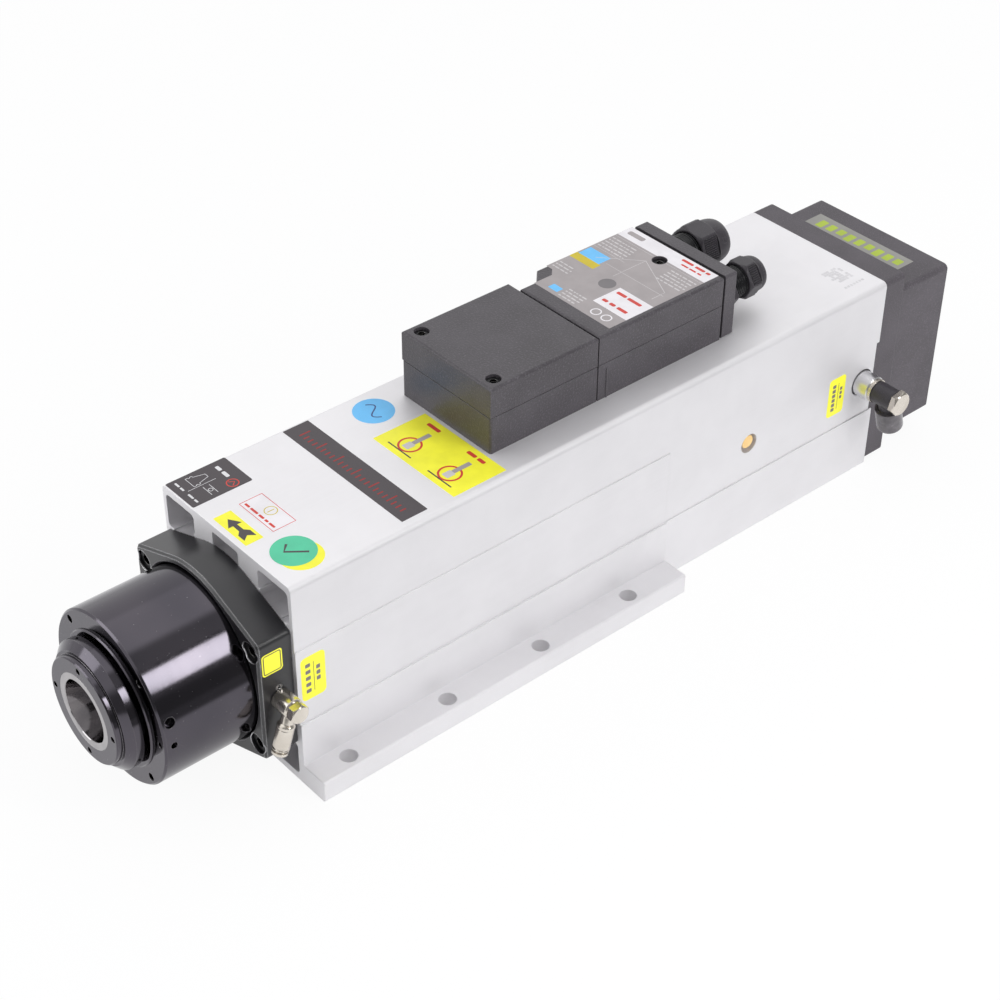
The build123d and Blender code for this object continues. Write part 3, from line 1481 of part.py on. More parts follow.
with BuildPart() as port_set_screw:
    with BuildSketch(side_plane(flange_width / 2, front_port_y, front_port_z + set_screw_height)):
        Circle(set_screw_radius)
    extrude(amount=-set_screw_length)
    with BuildSketch(side_plane(flange_width / 2, front_port_y, front_port_z + set_screw_height)):
        RegularPolygon(set_screw_radius * socket_share, 6)
    extrude(amount=-set_screw_length / 2, mode=Mode.SUBTRACT)
port_set_screw.part.label = "port_set_screw"
export_step(port_set_screw.part, "parts/port_set_screw.step")

sleeve_end = half_width + sleeve_proud
with BuildPart() as rear_port_sleeve:
    with BuildSketch(side_plane(sleeve_seat_x, rear_port_y, axis_z)):
        Circle(sleeve_radius)
    extrude(amount=sleeve_end - sleeve_seat_x)
    chamfer(rear_port_sleeve.edges().sort_by(Axis.X)[-1], small_bevel)
    with BuildSketch(side_plane(sleeve_seat_x, rear_port_y, axis_z)):
        Circle(rear_shank_radius)
    extrude(amount=sleeve_end - sleeve_seat_x, mode=Mode.SUBTRACT)
rear_port_sleeve.part.label = "rear_port_sleeve"
export_step(rear_port_sleeve.part, "parts/rear_port_sleeve.step")

with BuildPart() as rear_port_washer:
    with BuildSketch(side_plane(sleeve_end, rear_port_y, axis_z)):
        Circle(rear_washer_radius)
        Circle(rear_shank_radius, mode=Mode.SUBTRACT)
    extrude(amount=rear_washer_thickness)
rear_port_washer.part.label = "rear_port_washer"
export_step(rear_port_washer.part, "parts/rear_port_washer.step")

rear_ring_x = sleeve_end + rear_washer_thickness + swivel_gap
rear_bolt_seat = rear_ring_x + rear_ring_length + swivel_gap
rear_barrel_x = rear_ring_x + rear_ring_length / 2
rear_barrel_end = rear_barrel_start + rear_barrel_length
rear_bolt_radius = rear_shank_radius - running_gap
rear_bolt_length = rear_ring_length + 2 * swivel_gap + rear_washer_thickness + rear_shank_depth
rear_port_bolt = port_bolt(rear_bolt_seat, rear_port_y, axis_z, rear_hex, rear_hex_height, rear_bolt_radius,
                           rear_bolt_length)
rear_port_bolt.part.label = "rear_port_bolt"
export_step(rear_port_bolt.part, "parts/rear_port_bolt.step")

rear_elbow = elbow(rear_ring_x, rear_barrel_x, rear_port_y, axis_z, rear_elbow_tilt, rear_ring_radius,
                   rear_ring_length, rear_bolt_radius, rear_neck_radius, rear_barrel_radius,
                   rear_barrel_start, rear_barrel_length, rear_tube_radius, rear_collar_radius)
rear_elbow.part.label = "rear_elbow"
export_step(rear_elbow.part, "parts/rear_elbow.step")

rear_release_collar = release_collar(rear_barrel_x, rear_port_y, axis_z, rear_elbow_tilt, rear_barrel_end,
                                     rear_tube_radius, rear_collar_radius, rear_collar_flange)
rear_release_collar.part.label = "rear_release_collar"
export_step(rear_release_collar.part, "parts/rear_release_collar.step")

cap_start = rear_barrel_start + dust_cap_setback
with BuildPart() as dust_cap:
    with BuildSketch(barrel_plane(rear_barrel_x, rear_port_y, axis_z, rear_elbow_tilt, cap_start)):
        Circle(dust_cap_radius)
    extrude(amount=dust_cap_length)
    fillet(dust_cap.faces().sort_by(Axis.Z)[0].edges(), dust_cap_round)
    with BuildSketch(barrel_plane(rear_barrel_x, rear_port_y, axis_z, rear_elbow_tilt, cap_start)):
        Circle(rear_barrel_radius + running_gap)
    extrude(amount=dust_cap_length - dust_cap_wall, mode=Mode.SUBTRACT)
dust_cap.part.label = "dust_cap"
export_step(dust_cap.part, "parts/dust_cap.step")

# Plug in the side recess that locks the stator in its bore
with BuildPart() as side_plug:
    plug_face = half_width - side_recess_depth + side_plug_proud
    with BuildSketch(side_plane(plug_face, rear_y - side_plug_setback, axis_z)):
        Circle(side_plug_radius - running_gap)
    extrude(amount=-side_plug_length)
    with BuildSketch(side_plane(plug_face, rear_y - side_plug_setback, axis_z)):
        RegularPolygon(side_plug_radius * socket_share, 6)
    extrude(amount=-side_plug_length / 2, mode=Mode.SUBTRACT)
side_plug.part.label = "side_plug"
export_step(side_plug.part, "parts/side_plug.step")
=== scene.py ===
import json
import math
import random
import bmesh
import bpy
from mathutils import Matrix, Vector


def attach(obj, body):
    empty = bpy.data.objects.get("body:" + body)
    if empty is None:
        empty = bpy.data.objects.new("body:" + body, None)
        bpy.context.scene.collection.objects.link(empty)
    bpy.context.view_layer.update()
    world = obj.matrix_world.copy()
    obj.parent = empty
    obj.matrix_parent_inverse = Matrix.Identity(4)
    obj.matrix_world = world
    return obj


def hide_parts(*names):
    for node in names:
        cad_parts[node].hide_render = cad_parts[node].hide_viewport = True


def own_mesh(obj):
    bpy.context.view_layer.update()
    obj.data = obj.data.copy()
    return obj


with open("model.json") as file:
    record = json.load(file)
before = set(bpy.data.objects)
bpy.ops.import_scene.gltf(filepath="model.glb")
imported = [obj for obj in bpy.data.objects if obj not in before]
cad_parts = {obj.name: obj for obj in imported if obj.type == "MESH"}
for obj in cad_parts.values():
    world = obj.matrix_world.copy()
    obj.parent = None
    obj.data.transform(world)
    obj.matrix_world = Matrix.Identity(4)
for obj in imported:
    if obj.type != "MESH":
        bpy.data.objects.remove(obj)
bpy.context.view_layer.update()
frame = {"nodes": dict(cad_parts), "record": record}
nodes = frame["nodes"]
scene = bpy.context.scene
mm = 0.001
print("frame loaded:", len(nodes), "nodes")

# camera, fitted to the photograph's viewing angle
cameraView = {"place": (0.63947, -0.50271, 0.70726), "azimuth": 48.944, "elevation": 37.504, "roll": 0.489,
              "lens": 75.8, "sensor": 36.0}


def makeCamera():
    camera = bpy.data.objects.new("camera", bpy.data.cameras.new("camera"))
    scene.collection.objects.link(camera)
    turn, lift = math.radians(cameraView["azimuth"]), math.radians(cameraView["elevation"])
    back = Vector((math.sin(turn) * math.cos(lift), -math.cos(turn) * math.cos(lift), math.sin(lift)))
    right = Vector((0, 0, 1)).cross(back).normalized()
    up = back.cross(right)
    roll = math.radians(cameraView["roll"])
    across = right * math.cos(roll) + up * math.sin(roll)
    upright = up * math.cos(roll) - right * math.sin(roll)
    turned = Matrix((across, upright, back)).transposed().to_4x4()
    camera.matrix_world = Matrix.Translation(cameraView["place"]) @ turned
    camera.data.lens = cameraView["lens"]
    camera.data.sensor_width = cameraView["sensor"]
    camera.data.clip_start = 0.01
    scene.camera = camera


makeCamera()
scene.view_settings.view_transform = "Standard"
print("camera in place")


# arithmetic on a socket adds Math nodes, and node() adds any other node
class Shade:
    def __init__(self, tree, socket):
        self.tree = tree
        self.socket = socket

    def node(self, kind, settings=None, inputs=None, output=0):
        made = self.tree.nodes.new(kind)
        for name, value in (settings or {}).items():
            setattr(made, name, value)
        for name, value in (inputs or {}).items():
            plug(self.tree, value, made.inputs[name])
        return Shade(self.tree, made.outputs[output])

    def math(self, operation, *values):
        return self.node("ShaderNodeMath", {"operation": operation}, dict(enumerate(values)))

    def __add__(self, other):
        return self.math("ADD", self, other)

    def __radd__(self, other):
        return self.math("ADD", other, self)

    def __sub__(self, other):
        return self.math("SUBTRACT", self, other)

    def __rsub__(self, other):
        return self.math("SUBTRACT", other, self)

    def __mul__(self, other):
        return self.math("MULTIPLY", self, other)

    def __rmul__(self, other):
        return self.math("MULTIPLY", other, self)

    def __pow__(self, other):
        return self.math("POWER", self, other)

    def smooth(self, low, high):
        return self.node("ShaderNodeMapRange", {"interpolation_type": "SMOOTHSTEP"},
                         {"Value": self, "From Min": low, "From Max": high})

    def mix(self, first, second):
        return self.node("ShaderNodeMix", {"data_type": "RGBA"}, {0: self, 6: paint(first), 7: paint(second)}, 2)

    def noise(self, scale, detail=2.0, roughness=0.5, stretch=(1, 1, 1)):
        spread = self.node("ShaderNodeVectorMath", {"operation": "MULTIPLY"}, {0: self, 1: stretch})
        return self.node("ShaderNodeTexNoise", None,
                         {"Vector": spread, "Scale": scale, "Detail": detail, "Roughness": roughness})

    def axes(self):
        split = self.node("ShaderNodeSeparateXYZ", None, {"Vector": self})
        outputs = split.socket.node.outputs
        return [Shade(self.tree, outputs[index]) for index in range(3)]

    def bump(self, strength, distance, normal=None):
        values = {"Height": self, "Strength": strength, "Distance": distance}
        if normal:
            values["Normal"] = normal
        return self.node("ShaderNodeBump", None, values)


def paint(colour):
    if isinstance(colour, Shade) or len(colour) == 4:
        return colour
    return (*colour, 1.0)


def plug(tree, value, socket):
    if isinstance(value, Shade):
        tree.links.new(value.socket, socket)
    else:
        socket.default_value = value


def newMaterial(name):
    material = bpy.data.materials.new(name)
    material.use_nodes = True
    tree = material.node_tree
    place = Shade(tree, tree.nodes.new("ShaderNodeTexCoord").outputs["Object"])
    return material, place


def dress(material, values):
    shader = material.node_tree.nodes["Principled BSDF"]
    for name, value in values.items():
        plug(material.node_tree, paint(value) if name == "Base Color" else value, shader.inputs[name])
    return material


def roundedEdges(place, radius):
    # the soft normal of a slightly broken edge, and a mask that is 1 on the edge
    soft = place.node("ShaderNodeBevel", {"samples": 4}, {"Radius": radius})
    flat = place.node("ShaderNodeNewGeometry", output="Normal")
    alike = place.node("ShaderNodeVectorMath", {"operation": "DOT_PRODUCT"}, {0: soft, 1: flat}, "Value")
    return soft, (1 - alike).smooth(0.02, 0.25)


spindleHeight = 0.059   # of the axis over the table


def turningMarks(place, scale, roughness):
    # fine rings about the spindle's axis
    x, y, z = place.axes()
    rise = z - spindleHeight
    rings = place.node("ShaderNodeCombineXYZ", None, {"X": (x * x + rise * rise) ** 0.5, "Y": y})
    return rings.noise(1.0, 4.0, roughness, (scale, scale, 1))


def bodyAluminium():
    material, place = newMaterial("satinAluminium")
    soft, edge = roundedEdges(place, 0.0007)
    grain = place.noise(5200, 3.0, 0.6)
    streaks = place.noise(1.0, 3.0, 0.55, (900, 7, 900))
    cloud = place.noise(22, 3.0, 0.6)
    tone = cloud.smooth(0.3, 0.7).mix((0.81, 0.8, 0.815), (0.855, 0.845, 0.86))
    lined = (streaks.smooth(0.35, 0.75) * 0.25).mix(tone, (0.85, 0.84, 0.86))
    colour = (edge * 0.8).mix(lined, (0.93, 0.93, 0.94))
    roughness = 0.48 + 0.14 * grain + 0.08 * cloud - 0.12 * edge
    relief = (grain * 0.8 + streaks * 0.3).bump(0.2, 0.00005, soft)
    return dress(material, {"Base Color": colour, "Metallic": 0.68, "Roughness": roughness, "Normal": relief})


def turnedBlackSteel(name, low, high, roughnessBase):
    material, place = newMaterial(name)
    soft, edge = roundedEdges(place, 0.0004)
    marks = turningMarks(place, 5200, 0.65)
    tint = place.noise(20, 2.0, 0.5)
    specks = place.noise(1500, 0.0, 0.5).smooth(0.84, 0.88)
    wiped = place.noise(1.0, 3.0, 0.6, (60, 240, 60))
    tone = tint.smooth(0.35, 0.68).mix(low, high)
    colour = (edge * 0.6).mix((specks * 0.6).mix(tone, (0.4, 0.4, 0.4)), (0.42, 0.41, 0.41))
    roughness = roughnessBase + 0.05 * marks + 0.06 * wiped + 0.2 * specks
    relief = (marks * 0.5 + specks).bump(0.08, 0.00003, soft)
    return dress(material, {"Base Color": colour, "Metallic": 1.0, "Roughness": roughness, "Normal": relief})


def blackAnodised():
    material, place = newMaterial("blackAnodised")
    soft, edge = roundedEdges(place, 0.001)
    grain = place.noise(3800, 3.0, 0.6)
    cloud = place.noise(30, 2.0, 0.5)
    tone = cloud.smooth(0.3, 0.7).mix((0.008, 0.0078, 0.009), (0.016, 0.0155, 0.018))
    colour = (edge * 0.95).mix(tone, (0.95, 0.95, 0.97))
    roughness = 0.27 + 0.1 * grain + 0.06 * cloud
    return dress(material, {"Base Color": colour, "Metallic": edge * 0.85, "Roughness": roughness,
                            "Specular IOR Level": 0.7, "Normal": grain.bump(0.14, 0.00004, soft)})


def brightSteel(name, colourLow, colourHigh, roughnessBase, ringScale, relief=0.03):
    material, place = newMaterial(name)
    soft, edge = roundedEdges(place, 0.0003)
    marks = turningMarks(place, ringScale, 0.6)
    cloud = place.noise(60, 2.0, 0.5)
    tone = cloud.smooth(0.3, 0.7).mix(colourLow, colourHigh)
    colour = (edge * 0.4).mix(tone, (0.85, 0.85, 0.84))
    return dress(material, {"Base Color": colour, "Metallic": 1.0, "Roughness": roughnessBase + 0.06 * marks,
                            "Normal": marks.bump(relief, 0.00002, soft)})


def mouldedPlastic(name, low, high, roughnessBase, grainScale, relief, edgeTone):
    material, place = newMaterial(name)
    soft, edge = roundedEdges(place, 0.0006)
    grain = place.noise(grainScale, 2.0, 0.55)
    cloud = place.noise(35, 3.0, 0.6)
    tone = cloud.smooth(0.3, 0.72).mix(low, high)
    speckled = (grain.smooth(0.5, 0.72) * 0.6).mix(tone, [min(1, value * 1.9) for value in high])
    colour = (edge * 0.45).mix(speckled, edgeTone)
    roughness = roughnessBase + 0.14 * grain + 0.05 * cloud
    return dress(material, {"Base Color": colour, "Roughness": roughness,
                            "Normal": grain.bump(relief, 0.0002, soft)})


def plated(name, low, high, roughnessBase, tarnish):
    material, place = newMaterial(name)
    soft, edge = roundedEdges(place, 0.0003)
    cloud = place.noise(120, 2.0, 0.5)
    scratch = place.noise(1.0, 3.0, 0.6, (3000, 700, 3000))
    tone = cloud.smooth(0.3, 0.75).mix(low, high)
    colour = (edge * 0.35).mix((cloud.smooth(0.66, 0.85) * 0.2).mix(tone, tarnish), (0.9, 0.87, 0.82))
    return dress(material, {"Base Color": colour, "Metallic": 1.0, "Roughness": roughnessBase + 0.06 * cloud,
                            "Normal": scratch.bump(0.06, 0.00002, soft)})


def smokePlastic():
    material, place = newMaterial("smokePlastic")
    soft, edge = roundedEdges(place, 0.0005)
    cloud = place.noise(180, 3.0, 0.5)
    colour = (edge * 0.4).mix(cloud.smooth(0.3, 0.7).mix((0.075, 0.068, 0.076), (0.13, 0.12, 0.13)),
                              (0.3, 0.29, 0.3))
    return dress(material, {"Base Color": colour, "Roughness": 0.2 + 0.12 * cloud, "Coat Weight": 0.4,
                            "Normal": cloud.bump(0.1, 0.00005, soft)})


def laminations():
    material, place = newMaterial("laminations")
    along = place.axes()[1]
    sheets = place.node("ShaderNodeTexNoise", {"noise_dimensions": "1D"}, {"W": along * 1200, "Scale": 1.0})
    cloud = place.noise(80, 2.0, 0.5)
    colour = sheets.smooth(0.35, 0.65).mix((0.16, 0.16, 0.17), (0.34, 0.34, 0.36))
    return dress(material, {"Base Color": colour, "Metallic": 0.85, "Roughness": 0.4 + 0.2 * cloud,
                            "Normal": sheets.bump(0.3, 0.0001)})


def windingCopper():
    material, place = newMaterial("windingCopper")
    wires = place.noise(1.0, 2.0, 0.5, (1400, 300, 1400))
    colour = wires.smooth(0.3, 0.7).mix((0.33, 0.11, 0.045), (0.68, 0.33, 0.16))
    return dress(material, {"Base Color": colour, "Metallic": 0.7, "Roughness": 0.3 + 0.2 * wires,
                            "Normal": wires.bump(0.4, 0.0003)})


# one finish for each slot: its name, darker and lighter colour and lowest roughness, then the scale of its grain
# or rings, the relief, and the colour of worn edges or tarnish
finishes = {
    "body_aluminium": bodyAluminium(),
    "black_anodised": blackAnodised(),
    "black_steel": turnedBlackSteel("polishedBlackSteel", (0.082, 0.077, 0.091), (0.1, 0.092, 0.107), 0.07),
    "bright_steel": brightSteel("groundSteel", (0.33, 0.32, 0.33), (0.43, 0.415, 0.42), 0.03, 2600, 0.004),
    "bearing_steel": brightSteel("bearingSteel", (0.46, 0.46, 0.47), (0.60, 0.60, 0.61), 0.16, 4000),
    "dark_screws": plated("blackOxide", (0.022, 0.022, 0.024), (0.05, 0.05, 0.053), 0.32, (0.09, 0.08, 0.075)),
    "laminations": laminations(),
    "copper": windingCopper(),
    "machined_aluminium": brightSteel("machinedAluminium", (0.66, 0.66, 0.67), (0.8, 0.8, 0.81), 0.26, 3000),
    "box_plastic": mouldedPlastic("boxPlastic", (0.046, 0.041, 0.047), (0.062, 0.056, 0.064), 0.27, 1000, 0.9,
                                  (0.21, 0.2, 0.21)),
    "cover_plastic": mouldedPlastic("coverPlastic", (0.062, 0.055, 0.063), (0.082, 0.073, 0.084), 0.42, 1500, 0.45,
                                    (0.19, 0.18, 0.19)),
    "fan_plastic": mouldedPlastic("fanPlastic", (0.014, 0.014, 0.015), (0.024, 0.024, 0.025), 0.4, 3000, 0.25,
                                  (0.09, 0.09, 0.09)),
    "gland_nylon": mouldedPlastic("glandNylon", (0.027, 0.024, 0.029), (0.04, 0.036, 0.042), 0.3, 2200, 0.1,
                                  (0.14, 0.135, 0.145)),
    "black_rubber": mouldedPlastic("blackRubber", (0.012, 0.012, 0.012), (0.02, 0.02, 0.02), 0.6, 2000, 0.3,
                                   (0.04, 0.04, 0.04)),
    "nickel": plated("wornNickel", (0.66, 0.61, 0.54), (0.76, 0.71, 0.64), 0.15, (0.5, 0.42, 0.3)),
    "plug_brass": plated("plugBrass", (0.84, 0.56, 0.22), (0.95, 0.68, 0.32), 0.3, (0.6, 0.36, 0.12)),
    "smoke_plastic": smokePlastic(),
}
glossyNylon = mouldedPlastic("glossyNylon", (0.006, 0.006, 0.007), (0.012, 0.012, 0.013), 0.14, 1200, 0.06,
                             (0.03, 0.03, 0.032))
dress(glossyNylon, {"Specular IOR Level": 0.4})
dress(finishes["nickel"], {"Metallic": 0.93})
dress(finishes["plug_brass"], {"Metallic": 0.35})
slotOf = {entry["node"]: entry["material_slot"] for entry in frame["record"]["subparts"]}
for nodeName, node in nodes.items():
    node.data.materials.clear()
    node.data.materials.append(finishes[slotOf[nodeName]])
print("materials made:", len(finishes))


# meshes of the pieces
def placed(origin, along, across):
    # turns (distance along, first, second) into a point of the frame
    first = Vector(across).normalized()
    axis = Vector(along).normalized()
    second = axis.cross(first)
    start = Vector(origin)
    return lambda reach, u, v: start + axis * reach + first * u + second * v


def addPiece(name, mesh, body):
    made = bpy.data.objects.new(name, mesh)
    scene.collection.objects.link(made)
    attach(made, body)
    return made


def smoothPiece(name, mesh, body, sharpAngle):
    mesh.shade_smooth()
    mesh.set_sharp_from_angle(angle=math.radians(sharpAngle))
    return addPiece(name, mesh, body)


def meshFrom(name, work, materials):
    bmesh.ops.recalc_face_normals(work, faces=work.faces)
    mesh = bpy.data.meshes.new(name)
    work.to_mesh(mesh)
    work.free()
    for material in materials:
        mesh.materials.append(material)
    return mesh


def finishPiece(name, work, material, sharpAngle, body):
    bmesh.ops.remove_doubles(work, verts=work.verts, dist=1e-7)
    return smoothPiece(name, meshFrom(name, work, [material]), body, sharpAngle)


def addBand(work, lower, upper):
    # a strip of faces between two closed rings of corners
    faces = []
    for step in range(len(lower)):
        after = (step + 1) % len(lower)
        faces.append(work.faces.new((lower[step], lower[after], upper[after], upper[step])))
    return faces


def addRings(work, rings):
    # a skin over rings of points, closed into a loop
    rows = [[work.verts.new(point) for point in ring] for ring in rings]
    faces = []
    for lower, upper in zip(rows, rows[1:] + rows[:1]):
        faces += addBand(work, lower, upper)
    return faces


def softCorners(profile, size):
    # a closed profile with each corner cut by two points
    softened = []
    for index, point in enumerate(profile):
        before, after = Vector(profile[index - 1]), Vector(profile[(index + 1) % len(profile)])
        corner = Vector(point)
        inward, outward = before - corner, after - corner
        cut = min(size, inward.length * 0.4, outward.length * 0.4)
        first, last = corner + inward.normalized() * cut, corner + outward.normalized() * cut
        middle = (first + last) * 0.25 + corner * 0.5
        softened += [tuple(first), tuple(middle), tuple(last)]
    return softened


def circleRing(radius, steps):
    return [(radius * math.cos(step * math.tau / steps), radius * math.sin(step * math.tau / steps))
            for step in range(steps)]


def addTurned(work, profile, place, steps, corner=0.0):
    # a closed profile of (distance, radius) in millimetres, spun about the axis of place
    profile = [(reach * mm, radius * mm) for reach, radius in profile]
    outline = softCorners(profile, corner * mm) if corner else profile
    addRings(work, [[place(reach, u, v) for u, v in circleRing(radius, steps)] for reach, radius in outline])


def newGroup(name, inputs):
    # an empty node group, its input sockets and its output socket
    group = bpy.data.node_groups.new(name, "GeometryNodeTree")
    for label, kind in inputs.items():
        group.interface.new_socket(label, in_out="INPUT", socket_type="NodeSocket" + kind)
    group.interface.new_socket("Geometry", in_out="OUTPUT", socket_type="NodeSocketGeometry")
    given = group.nodes.new("NodeGroupInput")
    result = group.nodes.new("NodeGroupOutput")
    return group, given.outputs, result.inputs["Geometry"]


def joinSockets(group, pairs):
    for source, target in pairs:
        group.links.new(source, target)


# rows of repeated forms: a bar copied along a line, and the line copied round an axis
def makeRowGroup():
    group, given, result = newGroup("barRows", {"Bar": "Geometry", "Bars": "Int", "Step": "Vector", "Start": "Vector",
                                                "Rows": "Int", "Turn": "Float", "Material": "Material"})
    tree = group.nodes
    line = tree.new("GeometryNodeMeshLine")
    line.mode = "OFFSET"
    bars = tree.new("GeometryNodeInstanceOnPoints")
    copies = tree.new("GeometryNodeMeshLine")
    copies.mode = "OFFSET"
    copies.inputs["Offset"].default_value = (0, 0, 0)
    index = tree.new("GeometryNodeInputIndex")
    angle = tree.new("ShaderNodeMath")
    angle.operation = "MULTIPLY"
    spin = tree.new("ShaderNodeCombineXYZ")
    turned = tree.new("GeometryNodeInstanceOnPoints")
    real = tree.new("GeometryNodeRealizeInstances")
    painted = tree.new("GeometryNodeSetMaterial")
    joinSockets(group, [
        (given["Bars"], line.inputs["Count"]), (given["Start"], line.inputs["Start Location"]),
        (given["Step"], line.inputs["Offset"]), (line.outputs["Mesh"], bars.inputs["Points"]),
        (given["Bar"], bars.inputs["Instance"]), (given["Rows"], copies.inputs["Count"]),
        (index.outputs[0], angle.inputs[0]), (given["Turn"], angle.inputs[1]), (angle.outputs[0], spin.inputs["Y"]),
        (copies.outputs["Mesh"], turned.inputs["Points"]), (bars.outputs["Instances"], turned.inputs["Instance"]),
        (spin.outputs[0], turned.inputs["Rotation"]), (turned.outputs["Instances"], real.inputs["Geometry"]),
        (real.outputs["Geometry"], painted.inputs["Geometry"]), (given["Material"], painted.inputs["Material"]),
        (painted.outputs["Geometry"], result)])
    return group


# a spiral ridge, swept along a coil
def makeThreadGroup():
    group, given, result = newGroup("threadRidge", {"Base": "Geometry", "Radius": "Float", "Length": "Float",
                                                    "Turns": "Float", "Ridge": "Float", "Material": "Material"})
    tree = group.nodes
    coil = tree.new("GeometryNodeCurveSpiral")
    coil.inputs["Resolution"].default_value = 48
    ridge = tree.new("GeometryNodeCurvePrimitiveCircle")
    ridge.inputs["Resolution"].default_value = 6
    swept = tree.new("GeometryNodeCurveToMesh")
    swept.inputs["Fill Caps"].default_value = True
    painted = tree.new("GeometryNodeSetMaterial")
    joinSockets(group, [
        (given["Radius"], coil.inputs["Start Radius"]), (given["Radius"], coil.inputs["End Radius"]),
        (given["Length"], coil.inputs["Height"]), (given["Turns"], coil.inputs["Rotations"]),
        (given["Ridge"], ridge.inputs["Radius"]), (coil.outputs["Curve"], swept.inputs["Curve"]),
        (ridge.outputs["Curve"], swept.inputs["Profile Curve"]), (swept.outputs["Mesh"], painted.inputs["Geometry"]),
        (given["Material"], painted.inputs["Material"]), (painted.outputs["Geometry"], result)])
    return group


rowGroup = makeRowGroup()
threadGroup = makeThreadGroup()
blankMesh = bpy.data.meshes.new("blank")   # the thread group needs nothing to start from


def grown(name, source, group, values, turnTo):
    # runs a node group on a mesh and gives its result as a new mesh, turned into place
    seed = bpy.data.objects.new(name + "Seed", source)
    scene.collection.objects.link(seed)
    modifier = seed.modifiers.new(name, "NODES")
    modifier.node_group = group
    for item in group.interface.items_tree:
        if item.in_out == "INPUT" and item.name in values:
            modifier[item.identifier] = values[item.name]
    seed.update_tag()
    bpy.context.view_layer.update()
    ready = seed.evaluated_get(bpy.context.evaluated_depsgraph_get())
    mesh = bpy.data.meshes.new_from_object(ready)
    mesh.name = name
    mesh.transform(turnTo)
    bpy.data.objects.remove(seed)
    return mesh


# cable glands: domed hexagon nuts with ribbed panels on every second flat, in millimetres
glands = {
    "large": {"x": -20.5, "flats": 25.0, "start": 16.8, "length": 39.5, "straight": 28.2, "bore": 6.5, "thread": 10.0,
              "ribs": 12, "facing": 20.0, "panelShare": 0.94},
    "small": {"x": 16.5, "flats": 19.6, "start": 15.8, "length": 30.2, "straight": 23.4, "bore": 4.5, "thread": 8.0,
              "ribs": 9, "facing": 34.0, "panelShare": 0.92}}
glandForm = {"rear": 184.5, "height": 136.5, "steps": 288, "cornerShare": 1.115,
             "foot": [(0.5, -1.8), (0.0, -1.2), (0.0, -0.5), (0.3, 0.1)], "footDepth": 2.0,
             "cornerFoot": [(1.2, -0.4), (1.6, 0.0)], "straightParts": (0.33, 0.66, 1.0),
             "neck": [(0.9, 1.03), (1.8, 0.985), (2.6, 0.985)], "lip": 2.4, "domeSteps": 16, "domeRound": 0.9,
             "mouthRound": 0.5, "panelFrom": 1.9, "panelPast": 0.7, "panelDepth": 1.1, "panelWall": 0.12,
             "ribHeight": 1.08, "ribShare": 0.5, "ribShort": 1.0, "ribShift": 0.4,
             "slotAt": 0.45, "slotLength": 1.5, "slotDepth": 0.45, "slotArc": (-0.26, 0.02),
             "seal": 5.2, "underNut": 1.5, "sleeve": (-0.5, 0.06), "sleeveSteps": 96, "pitch": 1.5, "ridge": 0.5}
ribForm = {"profile": [(-0.5, -0.5), (-0.42, 0.55), (-0.2, 1.0), (0.2, 1.0), (0.42, 0.55), (0.5, -0.5)],
           "endLength": 0.25, "endHeight": 0.5}


def ribBar(length, width, height):
    # one rib with a rounded back, lying along Y
    work = bmesh.new()
    half, taper = length / 2, ribForm["endLength"]
    low = ribForm["endHeight"]
    ends = []
    for y, share in ((-half, low), (-half + taper, 1.0), (half - taper, 1.0), (half, low)):
        ends.append([work.verts.new((width * u * mm, y * mm, height * v * share * mm)) for u, v in ribForm["profile"]])
    for lower, upper in zip(ends, ends[1:]):
        for step in range(len(lower)):
            after = (step + 1) % len(lower)
            work.faces.new((lower[step], upper[step], upper[after], lower[after]))
    work.faces.new(ends[0])
    work.faces.new(list(reversed(ends[-1])))
    return meshFrom("ribBar", work, [])


def hexRadius(apothem, angle):
    return apothem / math.cos((angle % (math.pi / 3)) - math.pi / 6)


def glandOrigin(size, along=0.0):
    return size["x"] * mm, (glandForm["rear"] + along) * mm, glandForm["height"] * mm


def glandPanel(size):
    # half the width of a ribbed panel, and where it starts and ends
    half = size["flats"] / 2 * math.tan(math.pi / 6) * size["panelShare"]
    return half, size["start"] + glandForm["panelFrom"], size["straight"] + glandForm["panelPast"]


def glandRings(size, apothem):
    # places along the nut with the greatest radius there: from the seal to the mouth, and back inside
    form = glandForm
    corner = apothem * form["cornerShare"]
    start, straight, end = size["start"], size["straight"], size["length"]
    panelStart, panelEnd = glandPanel(size)[1:]
    rings = [(start + form["footDepth"], size["thread"])]
    rings += [(start + along, apothem + out) for along, out in form["foot"]]
    rings += [(start + along, corner + out) for along, out in form["cornerFoot"]]
    rings += [(panelStart - form["panelWall"], corner), (panelStart + form["panelWall"], corner)]
    rings += [(panelStart + (straight - panelStart) * part, corner) for part in form["straightParts"]]
    dome = [(straight + along, apothem * share) for along, share in form["neck"]]
    domeStart, shoulder = dome[-1]
    mouth = size["bore"] + form["lip"]
    for step in range(1, form["domeSteps"] + 1):
        lean = step / form["domeSteps"] * math.pi / 2
        dome.append((domeStart + (end - domeStart) * math.sin(lean),
                     mouth + (shoulder - mouth) * math.cos(lean) ** form["domeRound"]))

    def limitAt(reach):
        for (before, low), (after, high) in zip([(straight, corner)] + dome, dome):
            if before <= reach <= after:
                return low + (high - low) * (reach - before) / (after - before)
        return corner
    cuts = [panelEnd - form["panelWall"], panelEnd + form["panelWall"]]
    late = sorted(dome + [(reach, limitAt(reach)) for reach in cuts], key=lambda ring: (ring[0], -ring[1]))
    inside = [(end, size["bore"] + form["mouthRound"]), (end - form["mouthRound"], size["bore"]),
              (straight, size["bore"]), (straight, size["thread"])]
    return rings + late, inside


